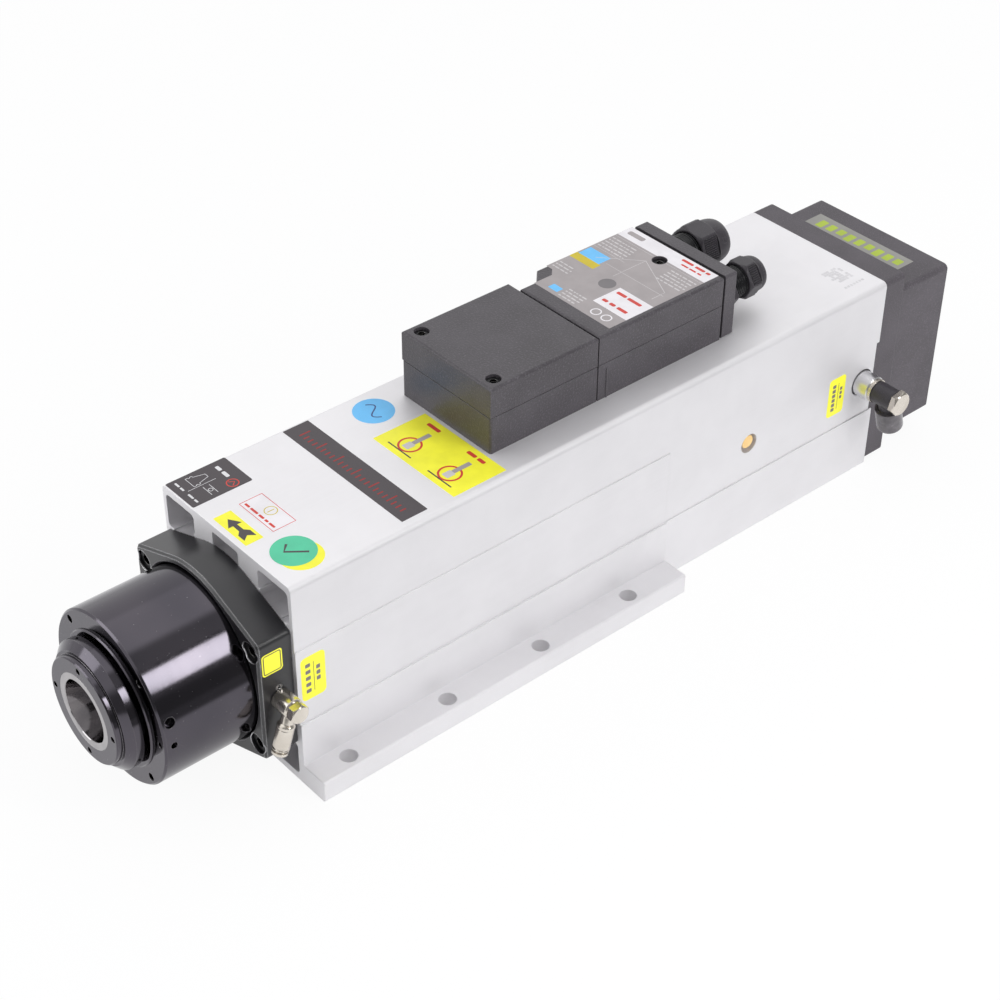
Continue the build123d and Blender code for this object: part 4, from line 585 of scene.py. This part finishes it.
def makeGlandNut(name, size):
    form = glandForm
    apothem = size["flats"] / 2
    panelHalf, panelStart, panelEnd = glandPanel(size)
    outside, inside = glandRings(size, apothem)
    place = placed(glandOrigin(size), (0, 1, 0), (1, 0, 0))
    turned = -math.radians(size["facing"] + 30)
    slotStart = size["straight"] + (size["length"] - size["straight"]) * form["slotAt"]
    slotFrom, slotTo = form["slotArc"]
    skin = []
    for index, (reach, limit) in enumerate(outside + inside):
        ring = []
        for step in range(form["steps"]):
            angle = step * math.tau / form["steps"]
            offset = (angle % (math.pi / 3)) - math.pi / 6
            radius = min(limit, hexRadius(apothem, angle))
            onFlat = int(angle // (math.pi / 3)) % 2 == 0 and index < len(outside)
            if onFlat and abs(apothem * math.tan(offset)) < panelHalf and panelStart < reach < panelEnd:
                radius -= form["panelDepth"]
            if onFlat and slotFrom < offset < slotTo and slotStart < reach < slotStart + form["slotLength"]:
                radius -= form["slotDepth"]
            ring.append(place(reach * mm, radius * math.cos(angle + turned) * mm,
                              radius * math.sin(angle + turned) * mm))
        skin.append(ring)
    work = bmesh.new()
    addRings(work, skin)
    nut = finishPiece(name + "GlandNut", work, finishes["gland_nylon"], 24.0, "housing")
    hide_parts(name + "_gland_nut")


def makeGlandRibs(name, size):
    half, start, end = glandPanel(size)
    gap = half * 2 / size["ribs"]
    bar = ribBar(end - start - glandForm["ribShort"], gap * glandForm["ribShare"], glandForm["ribHeight"])
    middle = (start + end - glandForm["ribShift"]) / 2
    level = size["flats"] / 2 - glandForm["panelDepth"]
    rows = {"Bars": size["ribs"], "Step": (gap * mm, 0, 0), "Start": ((-half + gap / 2) * mm, middle * mm, level * mm),
            "Rows": 3, "Turn": math.radians(120), "Material": finishes["gland_nylon"]}
    facing = Matrix.Rotation(math.radians(90 - size["facing"]), 4, "Y")
    ribs = grown(name + "GlandRibs", bar, rowGroup, rows, Matrix.Translation(glandOrigin(size)) @ facing)
    smoothPiece(name + "GlandRibs", ribs, "housing", 50.0)


def addThread(name, radius, length, turns, ridge, material, slot, turnTo):
    values = {"Radius": radius * mm, "Length": length * mm, "Turns": turns, "Ridge": ridge * mm, "Material": material}
    smoothPiece(name, grown(name, blankMesh, threadGroup, values, turnTo), "housing", 60.0)


def makeGlandThread(name, size):
    # glossy sleeve between the flange and the nut, with its spiral ridge
    seal, (under, over) = glandForm["seal"], glandForm["sleeve"]
    span = size["start"] + glandForm["underNut"] - seal
    inner, outer = size["thread"] + under, size["thread"] + over
    place = placed(glandOrigin(size), (0, 1, 0), (1, 0, 0))
    core = bmesh.new()
    addTurned(core, [(seal, inner), (seal, outer), (seal + span, outer), (seal + span, inner)], place,
              glandForm["sleeveSteps"])
    finishPiece(name + "GlandSleeve", core, glossyNylon, 30.0, "housing")
    lying = Matrix.Translation(glandOrigin(size, seal + span)) @ Matrix.Rotation(math.radians(90), 4, "X")
    addThread(name + "GlandThread", size["thread"], span, span / glandForm["pitch"], glandForm["ridge"], glossyNylon,
              "gland_nylon", lying)


for glandName, glandSize in glands.items():
    makeGlandNut(glandName, glandSize)
    makeGlandRibs(glandName, glandSize)
    makeGlandThread(glandName, glandSize)
print("cable glands made")


# front air elbow, in millimetres: swivel ring, neck, shouldered barrel with a groove above its mouth
frontElbow = {"x": 48.6, "y": -118.3, "z": 58.3, "ring": 5.2, "ringLength": 11.0, "ringChamfer": (0.9, 0.7),
              "ringRound": 0.25, "bolt": 2.45, "barrelX": 56.2, "tilt": 17.5, "neckStart": 3.4, "neckEnd": -0.9,
              "neck": 3.1, "barrel": 4.2, "start": 9.4, "end": 22.7, "tube": 2.0, "collar": 3.15, "collarDepth": 6.0,
              "shoulder": [(-0.3, -0.35), (0.3, 0.12), (1.3, 0.12), (1.7, -0.12), (2.2, 0.0)],
              "groove": [(-1.5, 0.0), (-1.3, -0.45), (-0.7, -0.45), (-0.5, 0.0), (0.0, -0.1)],
              "barrelRound": 0.12, "steps": 72}


def makeFrontElbow():
    size = frontElbow
    work = bmesh.new()
    ringPlace = placed((size["x"] * mm, size["y"] * mm, size["z"] * mm), (1, 0, 0), (0, 1, 0))
    length, (cutBack, cutIn) = size["ringLength"], size["ringChamfer"]
    ring = [(0, size["bolt"]), (0, size["ring"]), (length - cutBack, size["ring"]), (length, size["ring"] - cutIn),
            (length, size["bolt"])]
    addTurned(work, ring, ringPlace, size["steps"], size["ringRound"])
    tilt = math.radians(size["tilt"])
    down = (0, -math.sin(tilt), -math.cos(tilt))
    barrelPlace = placed((size["barrelX"] * mm, size["y"] * mm, size["z"] * mm), down, (1, 0, 0))
    start, end, collarTop = size["start"], size["end"], size["end"] - size["collarDepth"]
    barrel = [(size["neckStart"], size["tube"]), (size["neckStart"], size["neck"]),
              (start + size["neckEnd"], size["neck"])]
    barrel += [(start + along, size["barrel"] + out) for along, out in size["shoulder"]]
    barrel += [(end + along, size["barrel"] + out) for along, out in size["groove"]]
    barrel += [(end, size["collar"]), (collarTop, size["collar"]), (collarTop, size["tube"])]
    addTurned(work, barrel, barrelPlace, size["steps"], size["barrelRound"])
    piece = finishPiece("frontElbowBody", work, finishes["nickel"], 40.0, "front_fitting")
    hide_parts("front_elbow")


makeFrontElbow()
print("front elbow made")


# side plug, in millimetres: a brass head in the recess, on a thinner shank
sidePlug = {"x": 49.8, "y": 182.8, "z": 60.3, "head": 3.9, "headLength": 5.2, "chamfer": 0.3, "middle": 1.0,
            "shank": 3.5, "length": 10.3, "steps": 48}


def makeSidePlug():
    size = sidePlug
    work = bmesh.new()
    place = placed((size["x"] * mm, size["y"] * mm, size["z"] * mm), (1, 0, 0), (0, 1, 0))
    chamfer, under, end = size["chamfer"], -size["headLength"], -size["length"]
    profile = [(0, 0.0), (0, size["middle"]), (0, size["head"] - chamfer), (-chamfer, size["head"]),
               (under, size["head"]), (under, size["shank"]), (end, size["shank"]), (end, 0.0)]
    addTurned(work, profile, place, size["steps"])
    piece = finishPiece("sidePlugBody", work, finishes["plug_brass"], 40.0, "housing")
    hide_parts("side_plug")


makeSidePlug()
print("side plug made")


# springs, each copied into a piece of its own: piece, body, joint and the seat that stays, in metres
springs = {"disc_springs": ("discSpringStack", "rotor", "clamp_slide", 0.039),
           "return_spring": ("returnSpringCoil", "housing", "piston_slide", 0.226)}


def makeSpring(node, name, body, joint, seat):
    mesh = nodes[node].data.copy()
    mesh.name = name
    made = addPiece(name, mesh, body)
    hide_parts(node)
    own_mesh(made)


for springNode, springFacts in springs.items():
    makeSpring(springNode, *springFacts)
print("springs made")


# thread ridges on the nickel ring behind the rear elbow, in millimetres
washerThread = {"radius": 6.62, "length": 1.7, "turns": 2.6, "ridge": 0.2}
washerCentre = (59.65, 272.0, 59.0)
washerPlace = Matrix.Translation([value * mm for value in washerCentre]) @ Matrix.Rotation(math.radians(90), 4, "Y")
addThread("washerThread", **washerThread, material=finishes["nickel"], slot="nickel", turnTo=washerPlace)


# labels: thin plates with printed shapes, all generic, in millimetres
inks = {"dark": (0.06, 0.05, 0.056), "pale": (0.72, 0.72, 0.73), "yellow": (0.94, 0.91, 0.045),
        "white": (0.82, 0.8, 0.82), "red": (0.62, 0.05, 0.035), "deepRed": (0.30, 0.012, 0.012),
        "green": (0.085, 0.56, 0.33), "blue": (0.15, 0.53, 0.92), "navy": (0.03, 0.06, 0.20),
        "grey": (0.36, 0.33, 0.33), "steelGrey": (0.17, 0.16, 0.165), "lime": (0.40, 0.52, 0.04),
        "silver": (0.28, 0.275, 0.255), "paleGrey": (0.58, 0.56, 0.56), "ochre": (0.60, 0.48, 0.02),
        "etched": (0.68, 0.67, 0.68)}
# the faces that carry labels: up or to the side, and how far out
labelFaces = {"bodyTop": ("up", 118.0), "boxTop": ("up", 155.0), "fanTop": ("up", 106.75), "band": ("side", 50.5),
              "rearSide": ("side", 50.0), "flangeSide": ("side", 48.3)}


def vinyl(name, colour):
    material, place = newMaterial("vinyl_" + name)
    cloud = place.noise(90, 3.0, 0.55)
    fleck = place.noise(2600, 2.0, 0.5)
    tone = cloud.smooth(0.3, 0.7).mix([value * 0.9 for value in colour], colour)
    flecked = (fleck.smooth(0.62, 0.8) * 0.25).mix(tone, [min(1, value * 1.2 + 0.01) for value in colour])
    return dress(material, {"Base Color": flecked, "Roughness": 0.34 + 0.16 * cloud,
                            "Normal": fleck.bump(0.08, 0.00004)})


vinyls = {name: vinyl(name, colour) for name, colour in inks.items()}


def circlePoints(x, y, radius, steps=56):
    return [(x + u, y + v) for u, v in circleRing(radius, steps)]


def roundRect(x0, y0, x1, y1, radius, steps=6):
    points = []
    for cx, cy, start in ((x1 - radius, y1 - radius, 0), (x0 + radius, y1 - radius, 90),
                          (x0 + radius, y0 + radius, 180), (x1 - radius, y0 + radius, 270)):
        for step in range(steps + 1):
            angle = math.radians(start + 90 * step / steps)
            points.append((cx + radius * math.cos(angle), cy + radius * math.sin(angle)))
    return points


# a printed shape is its outline, the outline of its hole or None, and its ink
def area(points, ink):
    return points, None, ink


def patch(x0, y0, x1, y1, radius, ink, steps=6):
    return area(roundRect(x0, y0, x1, y1, radius, steps), ink)


def disc(x, y, radius, ink):
    return area(circlePoints(x, y, radius), ink)


def ring(x, y, radius, width, ink):
    return circlePoints(x, y, radius + width / 2), circlePoints(x, y, radius - width / 2), ink


def border(x0, y0, x1, y1, radius, width, ink):
    hole = roundRect(x0 + width, y0 + width, x1 - width, y1 - width, max(radius - width, 0.1))
    return roundRect(x0, y0, x1, y1, radius), hole, ink


def stroke(points, width, ink):
    # a line of even width through the points
    left, right = [], []
    for index, point in enumerate(points):
        before = Vector(points[max(index - 1, 0)])
        after = Vector(points[min(index + 1, len(points) - 1)])
        way = (after - before).normalized()
        side = Vector((-way.y, way.x)) * width / 2
        left.append(tuple(Vector(point) + side))
        right.append(tuple(Vector(point) - side))
    return area(left + right[::-1], ink)


def squares(x0, y0, x1, y1, pitch, count, radius, ink):
    # a column of small squares
    return [patch(x0, y0 + pitch * step, x1, y1 + pitch * step, radius, ink, 2) for step in range(count)]


def wordRow(x0, x1, y, height, seed, ink):
    # a row of small bars of uneven length
    picker = random.Random(seed)
    bars = []
    x = x0
    while x < x1 - height:
        length = min(picker.uniform(1.2, 4.5) * height, x1 - x)
        bars.append(patch(x, y, x + length, y + height, height * 0.3, ink, 2))
        x += length + height * picker.uniform(0.5, 0.9)
    return bars


def printShape(work, outline, hole, place, low, high):
    # a plate between two levels, with or without a hole
    if hole:
        rings = ((hole, low), (outline, low), (outline, high), (hole, high))
        return addRings(work, [[place(x, y, level) for x, y in points] for points, level in rings])
    turn = sum(a[0] * b[1] - b[0] * a[1] for a, b in zip(outline, outline[1:] + outline[:1]))
    ordered = outline if turn > 0 else outline[::-1]
    bottom = [work.verts.new(place(x, y, low)) for x, y in ordered]
    top = [work.verts.new(place(x, y, high)) for x, y in ordered]
    return [work.faces.new(top), work.faces.new(bottom[::-1])] + addBand(work, bottom, top)


def labelPlane(face):
    facing, height = labelFaces[face]
    if facing == "up":
        return lambda u, v, w: Vector((u * mm, v * mm, (height + w) * mm))
    return lambda u, v, w: Vector(((height + w) * mm, u * mm, v * mm))


def makeLabel(name, face, shapes, low=-0.03, level=0.06, step=0.012, fineStep=0.02):
    # the first shape is the ground, and each other is printed a little above the one before it
    work = bmesh.new()
    place = labelPlane(face)
    used = []
    for order, (outline, hole, ink) in enumerate(shapes):
        if ink not in used:
            used.append(ink)
        for printed in printShape(work, outline, hole, place, low, level):
            printed.material_index = used.index(ink)
        level += step if order == 0 else step * fineStep
    addPiece(name, meshFrom(name, work, [vinyls[ink] for ink in used]), "housing")


def holderDrawing(x, y, size, ink):
    # plain side view of a taper holder, pointing up
    half = [(0.42, -0.5), (0.42, -0.34), (0.36, -0.34), (0.36, -0.24), (0.42, -0.24), (0.42, -0.1), (0.32, -0.1),
            (0.14, 0.55)]
    outline = [(-0.42, -0.5)] + half + [(-u, v) for u, v in half[::-1]]
    points = [(x + u * size, y + v * size) for u, v in outline]
    return [stroke([start, end], 0.28, ink) for start, end in zip(points, points[1:])]


def makeFrontLabels():
    holder = [patch(-48.6, -109.3, -25.5, -76.0, 0.8, "dark")] + wordRow(-45.0, -34.5, -84.2, 2.0, 3, "pale")
    holder += [ring(-29.6, -84.5, 2.9, 0.55, "red"),
               stroke([(-31.4, -85.8), (-29.8, -83.2), (-27.8, -85.6)], 0.5, "red")]
    holder += holderDrawing(-42.2, -95.4, 9.0, "pale")
    holder += [stroke([(-35.6, y), (-28.2, y)], 0.3, "pale") for y in (-97.0, -93.6)]
    holder += [ring(-31.8, -95.3, 1.1, 0.3, "pale"), stroke([(-37.4, -104.0), (-37.4, -88.6)], 0.25, "pale")]
    holder += wordRow(-46.4, -39.0, -105.8, 1.1, 5, "pale") + wordRow(-35.4, -27.6, -105.8, 1.1, 6, "pale")
    makeLabel("holderLabel", "bodyTop", holder)
    arrow = [(-8.5, -102.1), (-2.6, -105.8), (-2.6, -103.2), (2.2, -103.3), (4.6, -105.4), (9.4, -105.4), (6.8, -102.1),
             (9.4, -98.8), (4.6, -98.8), (2.2, -100.9), (-2.6, -101.0), (-2.6, -98.4)]
    makeLabel("arrowLabel", "bodyTop", [patch(-13.0, -107.0, 12.7, -97.3, 0.3, "yellow"), area(arrow, "dark")])
    note = [patch(-15.0, -92.4, 13.0, -78.2, 0.5, "white"), border(-14.4, -91.8, 12.4, -78.8, 0.4, 0.35, "red")]
    note += wordRow(-12.8, 10.8, -90.0, 1.3, 11, "red")
    note += [ring(-1.0, -83.4, 3.1, 0.45, "ochre"), stroke([(-1.0, -85.4), (-1.0, -81.6)], 0.5, "ochre")]
    makeLabel("noteLabel", "bodyTop", note)


tickBar = {"count": 24, "x": -40.0, "pitch": 3.35, "y": -38.8, "width": 0.85, "tall": 6.4, "short": 3.4, "tallEvery": 4}


def makeTopLabels():
    bar = [patch(-47.4, -43.0, 44.2, -28.0, 0.4, "dark")]
    for tick in range(tickBar["count"]):
        height = tickBar["short"] if tick % tickBar["tallEvery"] else tickBar["tall"]
        x, y = tickBar["x"] + tick * tickBar["pitch"], tickBar["y"]
        bar.append(patch(x, y, x + tickBar["width"], y + height, 0.2, "deepRed", 2))
    makeLabel("tickBar", "bodyTop", bar)
    makeLabel("underDisc", "bodyTop", [disc(33.9, -92.0, 10.6, "yellow")])
    check = stroke([(23.4, -92.6), (27.2, -96.6), (34.2, -87.8)], 1.3, "dark")
    makeLabel("checkDisc", "bodyTop", [disc(29.3, -92.8, 10.8, "green"), check], low=0.02, level=0.12)
    wave = [(-39.6 + step * 0.5, 1.1 + 3.2 * math.sin(step * math.tau / 26)) for step in range(27)]
    makeLabel("waveDisc", "bodyTop", [disc(-33.1, 1.1, 10.5, "blue"), stroke(wave, 0.75, "navy")])
    panel = [patch(-15.3, -13.2, 45.0, 18.9, 0.3, "yellow")]
    for x in (0.2, 30.0):
        panel += [ring(x, -3.0, 5.6, 1.1, "red"), stroke([(x - 8.6, -9.4), (x + 8.6, -9.4)], 0.8, "dark"),
                  patch(x - 2.2, -6.4, x + 2.2, -1.2, 0.5, "paleGrey"), patch(x - 1.4, -1.2, x + 1.4, 9.6, 0.4, "grey")]
        panel += wordRow(x - 8.0, x + 4.5, 13.4, 2.2, 20 + int(x), "red")
    makeLabel("handlingLabel", "bodyTop", panel)


etching = {"x": 21.2, "y": 262.2, "pitch": 1.8, "size": 1.6, "count": 7, "share": 0.66, "seed": 9}


def makeEtching():
    picker = random.Random(etching["seed"])
    side, pitch, count = etching["size"], etching["pitch"], etching["count"]
    corners = [(etching["x"] + pitch * u, etching["y"] + pitch * v) for u in range(count) for v in range(count)
               if picker.random() < etching["share"]]
    etched = [patch(x, y, x + side, y + side, 0.15, "etched", 2) for x, y in corners]
    etched += squares(38.2, 261.5, 39.8, 263.0, 2.2, 7, 0.15, "etched")
    makeLabel("etchedSquare", "bodyTop", etched, step=0.0)


def makeSideLabels():
    port = [patch(-107.7, 50.0, -94.1, 75.5, 2.5, "yellow"), stroke([(-100.6, 54.0), (-100.6, 71.5)], 0.3, "dark")]
    port += squares(-105.2, 54.0, -102.4, 56.2, 3.8, 5, 0.4, "steelGrey")
    port += squares(-99.2, 59.0, -97.0, 61.4, 3.4, 3, 0.4, "steelGrey")
    makeLabel("frontPortLabel", "band", port)
    rear = [patch(245.0, 46.5, 258.0, 71.0, 2.2, "yellow"), stroke([(252.6, 50.0), (252.6, 67.0)], 0.3, "dark")]
    rear += squares(248.0, 49.6, 250.6, 51.8, 3.0, 6, 0.4, "steelGrey")
    rear += squares(254.0, 56.0, 255.8, 58.0, 2.8, 3, 0.3, "steelGrey")
    makeLabel("rearPortLabel", "rearSide", rear)
    sticker = [patch(-126.6, 74.5, -115.5, 87.0, 1.6, "yellow"), border(-125.9, 75.2, -116.2, 86.3, 1.2, 0.5, "dark")]
    makeLabel("flangeSticker", "flangeSide", sticker)


# the lid's panel: grey with a cut corner, a white band at the back and a hole round the lid's rear screw
boxPanel = {"left": -35.0, "right": 28.0, "front": 98.8, "back": 174.0, "band": 163.6, "bandInset": 0.1,
            "cutCorner": [(-35.0, 114.4), (-30.6, 114.4), (-26.6, 110.6), (-26.6, 98.8)],
            "holeX": -2.0, "holeY": 161.8, "hole": 4.15, "holeSteps": 40}


def makeBoxPanel():
    size = boxPanel
    left, right, back, band, inset = size["left"], size["right"], size["back"], size["band"], size["bandInset"]
    around = [(size["holeX"] + v, size["holeY"] + u) for u, v in circleRing(size["hole"], size["holeSteps"])]
    arch = sorted(point for point in around if point[1] > band)
    outline = [(left, back)] + size["cutCorner"] + [(right, size["front"]), (right, back)]
    slit = [(size["holeX"], back)]
    plate = [area(outline + slit + around + around[:1] + slit, "grey"),
             area([(left + inset, band)] + arch + [(right - inset, band), (right - inset, back - inset),
                                                   (left + inset, back - inset)], "white"),
             patch(4.3, 110.0, right, 128.5, 0.2, "white"), patch(-34.0, 135.5, -19.0, 144.0, 0.2, "blue"),
             patch(left, 130.0, -17.6, 135.5, 0.2, "ochre"), disc(-2.7, 126.2, 4.6, "steelGrey"),
             patch(-19.6, 101.6, -13.0, 106.0, 0.6, "blue")]
    for width, points in ((0.35, [(-25.0, 139.0), (-6.0, 156.0), (22.0, 142.0), (22.0, 133.0)]),
                          (0.25, [(-17.0, 139.0), (24.0, 139.0)]), (0.25, [(-6.0, 133.0), (-6.0, 156.0)]),
                          (0.2, [(left, 162.0), (-6.4, 162.0)]), (0.2, [(2.4, 162.0), (right, 162.0)]),
                          (0.2, [(left, 146.6), (-12.0, 146.6)])):
        plate.append(stroke(points, width, "paleGrey"))
    for row, y in enumerate((148.4, 151.0, 153.6, 156.2, 158.8)):
        plate += wordRow(-33.8, -15.0, y, 0.9, 40 + row, "paleGrey") + wordRow(9.0, 26.6, y, 0.9, 60 + row, "paleGrey")
    for row, y in enumerate((100.6, 103.0, 105.4, 107.8)):
        plate += wordRow(-11.0, 1.6, y, 0.9, 80 + row, "paleGrey")
    for row, y in enumerate((117.0, 119.6, 122.2)):
        plate += wordRow(-33.8, -22.4, y, 0.9, 90 + row, "paleGrey")
    for row in ((6.4, 26.2, 123.4, 2.1, 101, "red"), (6.4, 26.2, 113.6, 2.1, 102, "red"),
                (-32.4, -21.0, 167.6, 3.4, 103, "grey"), (5.0, 24.6, 170.2, 1.8, 104, "red"),
                (8.0, 22.0, 166.8, 1.2, 105, "red")):
        plate += wordRow(*row)
    plate += [ring(12.8, 104.2, 2.6, 0.7, "white"), ring(20.2, 104.2, 2.6, 0.7, "white")]
    makeLabel("boxPanel", "boxTop", plate, low=-0.04, level=0.025)


fanMarks = {"count": 9, "x": -29.5, "pitch": 6.9, "width": 4.6, "front": 314.2, "back": 321.8, "stagger": 0.9,
            "radius": 0.7}


def makeFanLabel():
    plate = [patch(-35.5, 310.0, 33.2, 326.0, 0.3, "silver")]
    for step in range(fanMarks["count"]):
        x, y = fanMarks["x"] + step * fanMarks["pitch"], fanMarks["front"] + (step % 3) * fanMarks["stagger"]
        plate.append(patch(x, y, x + fanMarks["width"], fanMarks["back"], fanMarks["radius"], "lime"))
    makeLabel("fanLabel", "fanTop", plate)


makeFrontLabels()
makeTopLabels()
makeEtching()
makeSideLabels()
makeBoxPanel()
makeFanLabel()
print("labels made:", len(inks), "inks")


# light and stage: floorEnd, roomSide, tableLevel and greySide are where soft changes start and end
studio = {"world": 0.74, "worldColour": (0.97, 0.97, 1.0), "floorTone": 0.9, "reach": 6.0, "dimTone": 0.16,
          "cameraGlow": 0.92, "mirrorGlow": 0.5, "floorEnd": (0.24, 0.34), "roomSide": (0.55, 0.75),
          "tableLevel": (0.28, 0.45), "greySide": (0.05, 0.22), "greyShare": 0.9,
          "lamps": [("overhead", (-0.1, 0.1, 1.5), (0.0, 0.1, 0.06), (2.2, 2.2), 3.6),
                    ("frontLeft", (-0.75, -1.15, 0.65), (0.0, -0.1, 0.06), (0.7, 0.9), 3.8),
                    ("noseStrip", (1.16, 0.46, 1.02), (0.03, -0.15, 0.09), (0.30, 0.62), 4.4)],
          "fill": ("sideFill", (1.45, 0.3, 0.75), (0.0, 0.1, 0.06), (1.2, 0.6), 8.4)}


def rayKinds(tree):
    # 1 for a ray from the camera, for a reflection and for a ray through glass
    rays = tree.nodes.new("ShaderNodeLightPath").outputs
    return [Shade(tree, rays[kind]) for kind in ("Is Camera Ray", "Is Glossy Ray", "Is Transmission Ray")]


def dimmed(mask):
    dim = studio["dimTone"]
    return mask.mix((1, 1, 1), (dim, dim, dim))


def floorMaterial():
    # the camera sees a white floor that keeps its shadow, and reflections see it end on the side of the fittings
    material, place = newMaterial("paleFloor")
    tone = studio["floorTone"]
    dress(material, {"Base Color": (tone, tone, tone), "Roughness": 0.9, "Specular IOR Level": 0.1})
    tree = material.node_tree
    camera, mirror, through = rayKinds(tree)
    past = place.axes()[0].smooth(*studio["floorEnd"])
    lit = studio["cameraGlow"] * camera.math("MAXIMUM", camera, through)
    mirrored = mirror * (studio["mirrorGlow"] + (studio["cameraGlow"] - studio["mirrorGlow"]) * past)
    every = lit.math("MAXIMUM", lit, mirrored)
    glow = place.node("ShaderNodeEmission", None, {"Color": dimmed(mirror * past), "Strength": 1.0})
    surface = Shade(tree, tree.nodes["Principled BSDF"].outputs[0])
    mixer = place.node("ShaderNodeMixShader", None, {0: every, 1: surface, 2: glow})
    plug(tree, mixer, tree.nodes["Material Output"].inputs["Surface"])
    return material


def makeStage():
    mesh = bpy.data.meshes.new("floor")
    half = studio["reach"]
    mesh.from_pydata([(-half, -half, 0), (half, -half, 0), (half, half, 0), (-half, half, 0)], [], [(0, 1, 2, 3)])
    mesh.materials.append(floorMaterial())
    floor = bpy.data.objects.new("floor", mesh)
    scene.collection.objects.link(floor)


def makeWorld():
    # reflections see a greyer room on the side of the fittings, dim at the level of the table
    world = bpy.data.worlds.new("studio")
    world.use_nodes = True
    scene.world = world
    tree = world.node_tree
    camera, mirrored, through = rayKinds(tree)
    seen = camera.math("MAXIMUM", camera, mirrored)
    every = seen.math("MAXIMUM", seen, through)
    way = Shade(tree, tree.nodes.new("ShaderNodeTexCoord").outputs["Generated"]).axes()
    side, height = way[0], way[2]
    table = side.smooth(*studio["roomSide"]) * (1 - height.math("ABSOLUTE", height).smooth(*studio["tableLevel"]))
    grey = table.math("MAXIMUM", table, side.smooth(*studio["greySide"]) * studio["greyShare"])
    white = camera.node("ShaderNodeBackground", None, {"Color": dimmed(mirrored * grey), "Strength": 1.0})
    background = tree.nodes["Background"]
    background.inputs["Color"].default_value = paint(studio["worldColour"])
    background.inputs["Strength"].default_value = studio["world"]
    light = Shade(tree, background.outputs[0])
    mixer = camera.node("ShaderNodeMixShader", None, {0: every, 1: light, 2: white})
    plug(tree, mixer, tree.nodes["World Output"].inputs["Surface"])


def makeLamps():
    for name, place, target, size, power in studio["lamps"] + [studio["fill"]]:
        lamp = bpy.data.objects.new(name, bpy.data.lights.new(name, "AREA"))
        lamp.data.shape = "RECTANGLE"
        lamp.data.size, lamp.data.size_y = size
        lamp.data.energy = power
        lamp.location = place
        lamp.rotation_mode = "QUATERNION"
        lamp.rotation_quaternion = (Vector(place) - Vector(target)).to_track_quat("Z", "Y")
        lamp.visible_glossy = name != studio["fill"][0]   # no reflection shows the fill
        scene.collection.objects.link(lamp)


makeStage()
makeWorld()
makeLamps()
print("stage and lights in place")
